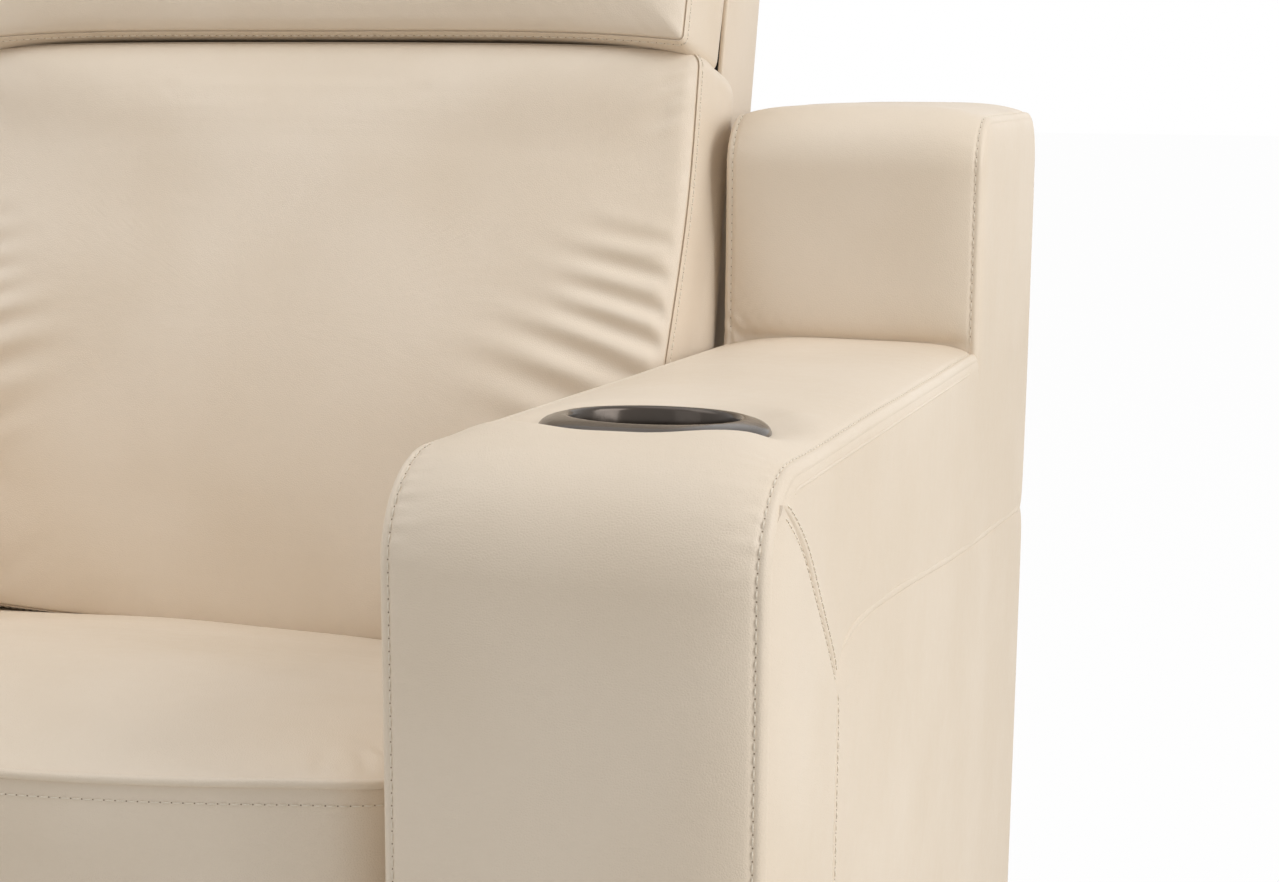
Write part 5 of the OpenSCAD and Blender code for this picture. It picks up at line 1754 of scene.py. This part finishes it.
@dataclass(frozen=True)
class Stuffing:
    """Foam that presses a cushion's cover outward in a cloth simulation."""

    voxel: float = 8.0 * MM
    seam_reach: float = 7 * MM
    seam_depth: float = 0.03
    held_share: float = 0.3
    quality: int = 4
    mass: float = 0.3
    stretch: float = 18.0
    shear: float = 8.0
    bending: float = 2.0
    pressure: float = 4.0
    frames: int = 20
    most: float = 24.0 * MM
    row_step: int = 2
    column_step: int = 5
    neighbours: int = 5
    softening: float = 0.002

    def form(self, name: str, net: Array) -> Object:
        """Even, closed mesh of a cushion for the simulation.

        Args:
            name: The cushion's name.
            net: Its net of points.

        Returns:
            A temporary object.
        """
        last = net.shape[0] - 1
        rows = np.unique(np.concatenate([np.arange(0, last + 1, self.row_step), [last]]))
        coarse = net[np.ix_(rows, np.arange(0, net.shape[1], self.column_step))]
        r, c = coarse.shape[:2]
        faces = [tuple(range(c)), tuple((r - 1) * c + j for j in range(c)), *wrap_faces(r, c)]
        form = new_object(f"{name}_form", coarse.reshape(-1, 3), faces)
        make_active(form)
        remesh = form.modifiers.new("even", "REMESH")
        remesh.mode = "VOXEL"
        remesh.voxel_size = self.voxel
        bpy.ops.object.modifier_apply(modifier=remesh.name)
        return form

    def press(self, form: Object) -> None:
        """Run the cloth simulation on a form whose held points are grouped, and keep its last state."""
        cloth = form.modifiers.new("stuffing", "CLOTH")
        settings = cloth.settings
        settings.quality = self.quality
        settings.mass = self.mass
        settings.tension_stiffness = self.stretch
        settings.compression_stiffness = self.stretch
        settings.shear_stiffness = self.shear
        settings.bending_stiffness = self.bending
        settings.use_pressure = True
        settings.uniform_pressure_force = self.pressure
        settings.effector_weights.gravity = 0.0
        settings.vertex_group_mass = "held"
        cloth.point_cache.frame_start = 1
        cloth.point_cache.frame_end = self.frames
        for number in range(1, self.frames + 1):
            bpy.context.scene.frame_set(number)
        bpy.ops.object.modifier_apply(modifier=cloth.name)

    def swollen(self, name: str, net: Array, gap: Array, depth: float) -> Array:
        """How a cushion's cover moves when its stuffing presses outward.

        Args:
            name: The cushion's name.
            net: Its net of points.
            gap: Distance from the face's seam, negative off the face.
            depth: The cushion's depth.

        Returns:
            Movement of each point of the net.
        """
        form = self.form(name, net)
        rest = mesh_points(form)
        seam = net[np.argmin(np.where(gap[:, 0] >= 0, gap[:, 0], np.inf))][:, :2]
        from_seam = line_gap(rest[:, :2], np.vstack([seam, seam[:1]]))
        at_seam = (from_seam < self.seam_reach) & (rest[:, 2] > depth - self.seam_depth)
        held = (rest[:, 2] < self.held_share * depth) | at_seam
        form.vertex_groups.new(name="held").add([int(n) for n in np.nonzero(held)[0]], 1.0, "REPLACE")
        self.press(form)
        move = mesh_points(form) - rest
        bpy.context.scene.frame_set(1)
        bpy.data.objects.remove(form)
        size = np.linalg.norm(move, axis=1, keepdims=True)
        move = move * np.minimum(1.0, self.most / np.maximum(size, 1e-9))
        log.info("%s: stuffing moved the cover by up to %.1f mm", name, float(size.max()) / MM)
        tree = KDTree(len(rest))
        for number, point in enumerate(rest):
            tree.insert(point, number)
        tree.balance()
        result = np.zeros((net.size // 3, 3))
        for number, point in enumerate(net.reshape(-1, 3)):
            near = tree.find_n(point, self.neighbours)
            weight = np.array([1.0 / (distance + self.softening) ** 2 for _, _, distance in near])
            moves = move[[index for _, index, _ in near]]
            result[number] = (moves * weight[:, None]).sum(axis=0) / weight.sum()
        return result.reshape(net.shape)


# Back and headrest


@dataclass(frozen=True)
class BackFrame:
    """The leaned plane that the back's pieces are drawn in."""

    hinge: Pair = (0.175, 0.330)
    rake: float = 15.0

    def place(self, points: Array) -> Array:
        """Move points from the back's own axes into the chair.

        Args:
            points: Across, up and forward of the hinge.

        Returns:
            Points in the chair.
        """
        c, s = math.cos(math.radians(self.rake)), math.sin(math.radians(self.rake))
        across, up, ahead = points[..., 0], points[..., 1], points[..., 2]
        y = self.hinge[0] - ahead * c + up * s
        return np.stack([across, y, self.hinge[1] + ahead * s + up * c], axis=-1)


class Back:
    """Back cushion, headrest and the leather-covered shell behind them."""

    FOLDS = (
        ((0.270, -0.160), 142.0, 0.100, 4.4, 1.5, 0.008), ((0.284, -0.110), 150.0, 0.150, 5.0, 1.6, 0.012),
        ((0.284, -0.062), 156.0, 0.170, 5.6, 1.8, 0.014), ((0.284, -0.028), 158.0, 0.165, 5.4, 1.9, 0.014),
        ((0.284, 0.000), 161.0, 0.150, 4.8, 2.0, 0.012), ((0.284, 0.024), 165.0, 0.130, 4.6, 1.8, 0.010),
        ((0.284, 0.048), 168.0, 0.110, 4.4, 1.4, 0.008), ((0.284, 0.072), 172.0, 0.085, 4.0, 0.9, 0.004),
        ((0.284, 0.168), 207.0, 0.042, 2.8, 0.7, -0.003), ((0.284, 0.180), 213.0, 0.045, 2.6, 0.8, -0.003),
        ((0.282, 0.192), 220.0, 0.040, 2.4, 0.8, -0.003))
    HEAD_FOLDS = (((0.270, -0.105), 160.0), ((-0.270, -0.105), 20.0), ((0.270, 0.100), 200.0),
                  ((-0.270, 0.100), -20.0))
    SHELL_LOW = -0.030
    SHELL_HIGH = 0.733
    SHELL_REAR = 0.054
    SHELL_FRONT = 0.060
    SHELL_HALF = 0.278
    SHELL_WALL = 4.5 * MM
    SHELL_LIP = 1.8 * MM
    CORNER_ROLL = 30 * MM
    TOP_ROLL = 14 * MM

    def __init__(self, dress: Finishes, thread: Thread) -> None:
        """Keep what the back is made from.

        Args:
            dress: The chair's finishes.
            thread: The sewing thread.
        """
        self.dress = dress
        self.thread = thread
        self.lean = BackFrame()

    def in_back(self, low: float, high: float, rear: float) -> Callable[[Array], Array]:
        """Placing of a cushion between two heights of the back.

        Args:
            low: Its lower edge.
            high: Its upper edge.
            rear: How far its rear lies in front of the hinge.

        Returns:
            The placing.
        """
        middle = (low + high) / 2
        return lambda net: self.lean.place(net + np.array([0.0, middle, rear]))

    def cushion(self, simulate: bool) -> None:
        """Back cushion, fuller towards the seat, with folds running in from both sides."""
        folds = []
        for start, angle, length, width, depth, bend in self.FOLDS:
            right = Crease(start, angle, length, width * MM, depth * 1.5 * MM, bend)
            folds += [right, Crease((-start[0], start[1]), 180.0 - angle, length * 0.9, width * MM,
                                    depth * 1.2 * MM, -bend)]

        def fit(net: Array, a: Array, b: Array) -> Array:
            """Narrow the cover towards the seat, tuck its rear in and lift its top against the headrest."""
            out = net.copy()
            ahead = ease(net[..., 2], 0.03, 0.09)
            out[..., 0] *= 1.0 - 0.040 * (1.0 - ease(b, -0.19, 0.12)) * ahead
            out[..., 0] *= 1.0 - 0.07 * (1.0 - ease(net[..., 2], 0.012, 0.042))
            out[..., 1] += 0.007 * ease(b, 0.15, 0.20) * ahead
            foot = 1.0 - ease(b, -0.206, -0.13)
            out[..., 1] -= (0.006 + 0.006 * (1.0 - (a / 0.3) ** 2)) * foot * ahead
            return out

        def fuller(a: Array, b: Array) -> Array:
            """How much deeper the cushion gets towards the seat."""
            middle = np.clip(1.0 - (a / 0.285) ** 6, 0.0, 1.0)
            ends = 0.014 * ease(b, 0.13, 0.2) + 0.010 * ease(-b, 0.12, 0.2)
            return 0.013 * (1.0 - ease(b, -0.03, 0.16)) + ends * middle

        cushion = BoxedCushion(name="back_rest_cushion", nodes=("back_cushion",), body="back",
                               place=self.in_back(0.0435, 0.4605, 0.0491), half_a=0.2935, half_b=0.2085,
                               depth=0.106, crown=0.018, corner=0.014, bow=0.002, seam_inset=0.004, power=3.6,
                               low_power=3.0, high_power=8.0, puff=0.008, creases=tuple(folds), underside=fit,
                               face_shift=fuller, seed=101)
        cushion.build(self.dress, simulate)
        cushion.stitch(self.dress, self.thread, below=7)

    def headrest(self, simulate: bool) -> None:
        """Headrest pad over the back cushion."""
        folds = tuple(Crease(start, angle, 0.06, 3.2 * MM, 0.8 * MM) for start, angle in self.HEAD_FOLDS)

        def sag(net: Array, a: Array, b: Array) -> Array:
            """Let the lower corners sag and tuck the sides in behind the boxing."""
            out = net.copy()
            low = 1.0 - ease(b, -0.146, -0.06)
            ends = np.clip(np.abs(a) / 0.29, 0.0, 1.0) ** 4
            slant = 1.0 - ease(net[..., 2], 0.04, 0.124)
            out[..., 1] += low * (0.024 * (1.0 - ends) * slant - 0.010 * ends)
            out[..., 0] *= 1.0 - 0.06 * (1.0 - ease(net[..., 2], 0.045, 0.07))
            return out

        pad = BoxedCushion(name="head_rest_cushion", nodes=("headrest_cushion",), body="headrest",
                           place=self.in_back(0.4615, 0.755, 0.0529), half_a=0.2895, half_b=0.146,
                           depth=0.126, crown=0.018, corner=0.010, bow=0.002, seam_inset=0.006, power=4.0,
                           low_power=4.0, high_power=4.0, puff=0.008, creases=folds, underside=sag, seed=131)
        pad.build(self.dress, simulate)
        pad.stitch(self.dress, self.thread, below=7)

    def shell(self) -> None:
        """Leather-covered shell: side wings, a rear wall and a closed top, open to the front."""
        low, high, rear, front = self.SHELL_LOW, self.SHELL_HIGH, self.SHELL_REAR, self.SHELL_FRONT
        clear_selection()
        bpy.ops.mesh.primitive_cube_add(size=1.0, location=(0.0, (rear - front) / 2, (low + high) / 2),
                                        scale=(2 * self.SHELL_HALF, rear + front, high - low))
        piece = bpy.context.object
        piece.name = "back_leather_shell"
        bpy.ops.object.transform_apply(location=True, rotation=True, scale=True)
        work = bmesh.new()
        work.from_mesh(piece.data)
        open_faces = [f for f in work.faces if f.normal.y < -0.5 or f.normal.z < -0.5]
        bmesh.ops.delete(work, geom=open_faces, context="FACES")
        work.to_mesh(piece.data)
        work.free()

        def upright(p: Vector, q: Vector) -> bool:
            """Whether an edge is one of the two rear uprights."""
            return min(p.y, q.y) > rear - MM and abs(p.z - q.z) > 0.1

        def above(p: Vector, q: Vector) -> bool:
            """Whether an edge is at the top, apart from the open front."""
            return min(p.z, q.z) > high - MM and (p.y + q.y) / 2 > 2 * MM - front

        self.round_edges(piece, upright, self.CORNER_ROLL, 8)
        self.round_edges(piece, above, self.TOP_ROLL, 6)
        make_active(piece)
        wall = piece.modifiers.new("wall", "SOLIDIFY")
        wall.thickness = self.SHELL_WALL
        wall.offset = -1.0
        bpy.ops.object.modifier_apply(modifier=wall.name)
        soft = piece.modifiers.new("edges", "BEVEL")
        soft.width = self.SHELL_LIP
        soft.segments = 3
        soft.limit_method = "ANGLE"
        soft.angle_limit = HARD_SHARP_ANGLE
        bpy.ops.object.modifier_apply(modifier=soft.name)
        x, y, z = mesh_points(piece).T
        move_points(piece, self.lean.place(np.stack([x, z, -y], axis=-1)))
        finish_piece(piece, self.dress.side_leather, "back", ["back_shell"])

    def round_edges(self, piece: Object, chosen: Callable[[Vector, Vector], bool], width: float,
                    steps: int) -> None:
        """Round the edges whose two ends pass a test.

        Args:
            piece: The piece.
            chosen: Test on an edge's two ends.
            width: How far back the rounding starts.
            steps: How many faces it has.
        """
        make_active(piece)
        bpy.ops.object.mode_set(mode="EDIT")
        bpy.ops.mesh.select_mode(type="EDGE")
        bpy.ops.mesh.select_all(action="DESELECT")
        work = bmesh.from_edit_mesh(piece.data)
        for edge in work.edges:
            edge.select = chosen(edge.verts[0].co, edge.verts[1].co)
        bmesh.update_edit_mesh(piece.data)
        bpy.ops.mesh.bevel(offset=width, segments=steps, affect="EDGES")
        bpy.ops.object.mode_set(mode="OBJECT")

    def build(self, simulate: bool) -> None:
        """Make every piece of the back."""
        self.shell()
        self.cushion(simulate)
        self.headrest(simulate)


# Seat and footrest


class Seat:
    """Seat cushion with its piped front edge, and the footrest pad below it."""

    front = -0.405
    rear = 0.105
    front_z = 0.466
    rear_z = 0.396
    nose_z = 0.334
    under_z = 0.3752
    FOLDS = (((0.275, -0.235), 118.0, 0.055, 2.6, 0.8), ((0.255, -0.246), 112.0, 0.05, 2.6, 0.7),
             ((0.282, -0.21), 140.0, 0.05, 2.8, 0.7), ((0.282, 0.1), 190.0, 0.07, 3.6, 0.6))

    def __init__(self, dress: Finishes, thread: Thread) -> None:
        """Keep what the seat is made from.

        Args:
            dress: The chair's finishes.
            thread: The sewing thread.
        """
        self.dress = dress
        self.thread = thread

    def slope(self, y: Array) -> Array:
        """Height of the seat's top seam at a depth."""
        share = np.clip((np.asarray(y, float) - self.front) / (self.rear - self.front), 0.0, 1.0)
        return self.front_z + (self.rear_z - self.front_z) * share

    def cushion(self, simulate: bool) -> None:
        """Seat cushion: crowned top, piping, and a boxing that drops at the nose."""
        middle = (self.front + self.rear) / 2
        depth = 0.10

        def settle(net: Array, a: Array, b: Array) -> Array:
            """Give the boxed form the seat's slope, nose and bowed front."""
            y = b + middle
            share = np.clip(net[..., 2] / depth, 0.0, 1.0)
            extra = np.maximum(net[..., 2] - depth, 0.0) * (1.0 - 0.7 * ease(y, -0.22, 0.01))
            nose = 1.0 - ease(y, self.front + 0.034, self.front + 0.042)
            low = self.under_z + (self.nose_z - self.under_z) * nose
            out = net.copy()
            out[..., 2] = low + (self.slope(y) - low) * share + extra
            ends = np.clip(np.abs(a) / 0.293, 0.0, 1.0)
            ahead = ease(-b, 0.15, 0.25) * ease(share, 0.2, 0.9)
            out[..., 1] -= (0.013 * (1.0 - ends ** 2) - 0.008 * ends ** 8) * ahead
            out[..., 2] -= (0.0165 * (1.0 - ends ** 2) - 0.0035 + 0.006 * ends ** 16) * ahead
            out[..., 2] -= 0.009 * (1.0 - 0.6 * ends ** 2) * ease(y, -0.22, -0.02) * share
            return out

        def place(net: Array) -> Array:
            """Move the cushion to its depth."""
            return net + np.array([0.0, middle, 0.0])

        def crown_shift(a: Array, b: Array) -> Array:
            """Extra fullness behind the front edge."""
            return 0.004 * bell(b, -0.12, 0.16) * np.clip(1 - (a / 0.28) ** 4, 0, 1)

        folds = []
        for (a, b), angle, length, width, sink in self.FOLDS:
            folds += [Crease((sign * a, b), turn, length, width * MM, sink * MM)
                      for sign, turn in ((1.0, angle), (-1.0, 180.0 - angle))]
        cushion = BoxedCushion(name="seat_top_cushion", nodes=("seat_cushion",), body="base", place=place,
                               half_a=0.2935, half_b=(self.rear - self.front) / 2, depth=depth, crown=0.012,
                               corner=0.030, bow=0.002, seam_inset=0.003, power=2.4, puff=0.008,
                               boxing_bulge=0.002, creases=tuple(folds), underside=settle,
                               face_shift=crown_shift, seed=151)
        cushion.build(self.dress, simulate)
        cushion.pipe(self.dress, radius=2.5 * MM)
        cushion.stitch(self.dress, self.thread, below=8)

    def footrest(self, simulate: bool) -> None:
        """Footrest pad in front of its board."""
        rear, top, height = -0.3258, 0.316, 0.252

        def place(net: Array) -> Array:
            """Stand the pad up in front of its board."""
            return np.stack([net[..., 0], rear - net[..., 2], top - height / 2 + net[..., 1]], axis=-1)

        pad = BoxedCushion(name="footrest_front_pad", nodes=("footrest_pad",), body="footrest", place=place,
                           half_a=0.293, half_b=height / 2 - 0.001, depth=0.070, crown=0.008, corner=0.022,
                           bow=0.0015, seam_inset=0.010, power=3.0, puff=0.005, boxing_bulge=0.002, seed=171)
        pad.build(self.dress, simulate)
        pad.stitch(self.dress, self.thread, below=7)

    def build(self, simulate: bool) -> None:
        """Make every piece of the seat."""
        self.cushion(simulate)
        self.footrest(simulate)


# Cup holders


@dataclass(frozen=True)
class CupHolder:
    """Glossy ring and dark cup set into an arm's top."""

    side: Side
    shape: ArmShape
    hole: float = 0.0415
    rim: float = 0.057
    cup: float = 0.0755

    def lathe(self, name: str, profile: Sequence[Pair], steps: int) -> Object:
        """Turn a closed profile about the ring's axis.

        Args:
            name: The piece's name.
            profile: Radii and heights.
            steps: Faces round the axis.

        Returns:
            The turned piece.
        """
        clear_selection()
        bpy.ops.mesh.primitive_circle_add(vertices=len(profile), radius=0.02, fill_type="NOTHING",
                                          location=(0, 0, 0))
        piece = bpy.context.object
        piece.name = name
        for vertex, (r, z) in zip(piece.data.vertices, profile):
            vertex.co = (r, 0.0, z)
        bpy.ops.object.mode_set(mode="EDIT")
        bpy.ops.mesh.select_all(action="SELECT")
        bpy.ops.mesh.spin(steps=steps, angle=math.tau, center=(0, 0, 0), axis=(0, 0, 1), use_auto_merge=True)
        bpy.ops.mesh.select_all(action="SELECT")
        bpy.ops.mesh.remove_doubles(threshold=1e-5)
        bpy.ops.mesh.normals_make_consistent(inside=False)
        bpy.ops.object.mode_set(mode="OBJECT")
        x, y, z = mesh_points(piece).T
        tilt = math.radians(self.shape.ring_tilt)
        c, s = math.cos(tilt), math.sin(tilt)
        centre = np.array([self.side.value * self.shape.middle, self.shape.ring_y, self.shape.ring_z])
        move_points(piece, np.stack([x, y * c + z * s, -y * s + z * c], axis=1) + centre)
        return piece

    def build(self, dress: Finishes) -> None:
        """Make the ring and the cup.

        Args:
            dress: The chair's finishes.
        """
        h, r = self.hole, self.rim
        ring = [(h, -0.0045), (h, 0.0078), (h + 0.0004, 0.0089), (h + 0.0012, 0.0097), (h + 0.0024, 0.0101),
                (h + 0.0042, 0.0100), (r - 0.0062, 0.0086), (r - 0.0040, 0.0077), (r - 0.0022, 0.0065),
                (r - 0.0009, 0.0050), (r - 0.0002, 0.0034), (r, 0.0018), (r, -0.0040), (r - 0.0010, -0.0048)]
        word = self.side.word
        finish_piece(self.lathe(f"{word}_cup_ring", ring, 128), dress.bronze, "base",
                     [f"{word}_cup_holder_ring"])
        d = self.cup
        cup = [(0.0004, -d + 0.002), (0.030, -d + 0.002), (0.0375, -d + 0.0032), (0.0402, -d + 0.0065),
               (0.0408, -d + 0.012), (0.0412, -0.0055), (0.0500, -0.0054), (0.0500, -0.0072),
               (0.0436, -0.0078), (0.0434, -d + 0.008), (0.0420, -d + 0.0015), (0.0380, -d), (0.0004, -d)]
        finish_piece(self.lathe(f"{word}_cup_liner", cup, 96), dress.cup_plastic, "base",
                     [f"{word}_cup_holder_cup"])


# Camera, floor and lights


@dataclass(frozen=True)
class Lamp:
    """One soft rectangular light: where it hangs, what it faces, its sides and its watts."""

    name: str
    place: Triple
    target: Triple
    size: Pair
    power: float

    def hang(self) -> None:
        """Put the light in the scene."""
        data = bpy.data.lights.new(self.name, "AREA")
        data.shape = "RECTANGLE"
        data.size, data.size_y = self.size
        data.energy = self.power
        light = bpy.data.objects.new(self.name, data)
        bpy.context.scene.collection.objects.link(light)
        light.location = self.place
        way = Vector(self.target) - Vector(self.place)
        light.rotation_euler = way.to_track_quat("-Z", "Y").to_euler()


class Studio:
    """Pale floor, soft lights and the camera."""

    YAW = math.radians(17.39)
    PITCH = math.radians(9.99)
    ROLL = math.radians(0.36)
    CAMERA_AT = (0.6842, -1.2569, 0.7995)
    SENSOR = 36.0
    FOCAL_PIXELS = 2078.0
    PHOTO_PIXELS = 1279.0
    WORLD_LEVEL = 0.36
    FLOOR_GLOW = 0.975
    LAMPS = (Lamp("key_light", (3.3, -0.3, 2.1), (0.1, -0.1, 0.5), (2.4, 2.4), 76.0),
             Lamp("top_light", (-0.5, -0.7, 3.1), (0.0, 0.0, 0.5), (2.6, 2.6), 13.0),
             Lamp("overhead_light", (-0.2, 0.1, 3.2), (-0.2, 0.1, 0.0), (2.4, 2.4), 12.5),
             Lamp("left_light", (-0.75, -0.65, 1.7), (-0.1, 0.0, 0.65), (1.0, 1.0), 4.0),
             Lamp("fill_light", (-1.4, -3.2, 1.6), (0.0, 0.0, 0.5), (2.4, 2.0), 8.0))

    def camera(self) -> None:
        """Set the camera where the photograph was taken from."""
        yaw, pitch, roll = self.YAW, self.PITCH, self.ROLL
        level = math.cos(pitch)
        ahead = np.array([-math.sin(yaw) * level, math.cos(yaw) * level, -math.sin(pitch)])
        right = np.array([math.cos(yaw), math.sin(yaw), 0.0])
        up = np.cross(right, ahead)
        right, up = right * math.cos(roll) + up * math.sin(roll), up * math.cos(roll) - right * math.sin(roll)
        data = bpy.data.cameras.new("photo_camera")
        data.lens = self.SENSOR * self.FOCAL_PIXELS / self.PHOTO_PIXELS
        data.sensor_width = self.SENSOR
        data.clip_start = 0.01
        view = bpy.data.objects.new("photo_camera", data)
        bpy.context.scene.collection.objects.link(view)
        rows = [[right[i], up[i], -ahead[i], place] for i, place in enumerate(self.CAMERA_AT)]
        view.matrix_world = Matrix([*rows, [0, 0, 0, 1]])
        bpy.context.scene.camera = view

    def floor(self) -> None:
        """Lay a wide pale floor that keeps the chair's shadow."""
        clear_selection()
        bpy.ops.mesh.primitive_plane_add(size=60.0, location=(0.0, 0.0, 0.0))
        floor = bpy.context.object
        floor.name = "studio_floor"
        kit = Kit("studio_floor")
        speck = kit.noise(3.0, 2.0)
        kit.tint(kit.blend(speck, (0.86, 0.84, 0.80), (0.84, 0.82, 0.78)))
        kit.shader.inputs["Roughness"].default_value = 0.9
        glow = kit.add("ShaderNodeEmission")
        glow.inputs["Color"].default_value = (1.0, 1.0, 1.0, 1.0)
        mix = kit.add("ShaderNodeMixShader")
        path = kit.add("ShaderNodeLightPath")
        seen = kit.add("ShaderNodeMath", operation="MULTIPLY")
        kit.link(path.outputs["Is Camera Ray"], seen.inputs[0])
        seen.inputs[1].default_value = self.FLOOR_GLOW
        kit.link(seen.outputs[0], mix.inputs["Fac"])
        kit.link(kit.shader.outputs[0], mix.inputs[1])
        kit.link(glow.outputs[0], mix.inputs[2])
        kit.link(mix.outputs[0], kit.tree.nodes["Material Output"].inputs["Surface"])
        floor.data.materials.append(kit.material)

    def lights(self) -> None:
        """Light the chair softly from above and the right, with a white surround."""
        for lamp in self.LAMPS:
            lamp.hang()
        world = bpy.data.worlds.new("studio_world")
        world.use_nodes = True
        bpy.context.scene.world = world
        tree = world.node_tree
        back = tree.nodes["Background"]
        back.inputs["Color"].default_value = (1.0, 1.0, 1.0, 1.0)
        path = tree.nodes.new("ShaderNodeLightPath")
        seen, glossy = tree.nodes.new("ShaderNodeMath"), tree.nodes.new("ShaderNodeMath")
        seen.operation = glossy.operation = "MAXIMUM"
        tree.links.new(path.outputs["Is Camera Ray"], seen.inputs[0])
        tree.links.new(path.outputs["Is Glossy Ray"], glossy.inputs[0])
        tree.links.new(path.outputs["Is Transmission Ray"], glossy.inputs[1])
        tree.links.new(glossy.outputs[0], seen.inputs[1])
        level = tree.nodes.new("ShaderNodeMapRange")
        level.inputs["To Min"].default_value = self.WORLD_LEVEL
        level.inputs["To Max"].default_value = 1.0
        tree.links.new(seen.outputs[0], level.inputs["Value"])
        tree.links.new(level.outputs["Result"], back.inputs["Strength"])

    def build(self) -> None:
        """Set the camera, the floor and the lights."""
        self.camera()
        self.floor()
        self.lights()
        bpy.context.scene.view_settings.view_transform = "Standard"


def dress_solids(dress: Finishes) -> None:
    """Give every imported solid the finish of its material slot.

    Args:
        dress: The chair's finishes.
    """
    slots = {part["node"]: part["material_slot"] for part in frame["record"]["subparts"]}
    for name, solid in frame["nodes"].items():
        slot = slots.get(name, "black_steel")
        material = dress.by_slot(slot)
        if not solid.data.materials:
            solid.data.materials.append(material)
        for number in range(len(solid.material_slots)):
            solid.material_slots[number].material = material
        log.info("%s: %s", name, slot)


def main() -> None:
    """Build the studio and every sub-assembly of the chair in turn."""
    logging.basicConfig(level=logging.INFO, format="%(message)s")
    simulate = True
    dress = Finishes()
    thread = Thread()
    shape = ArmShape()
    Studio().build()
    dress_solids(dress)
    for side in Side:
        ArmCover(side, shape, dress, thread).build()
        CupHolder(side, shape).build(dress)
    Back(dress, thread).build(simulate)
    Seat(dress, thread).build(simulate)


if __name__ == "__main__":
    main()
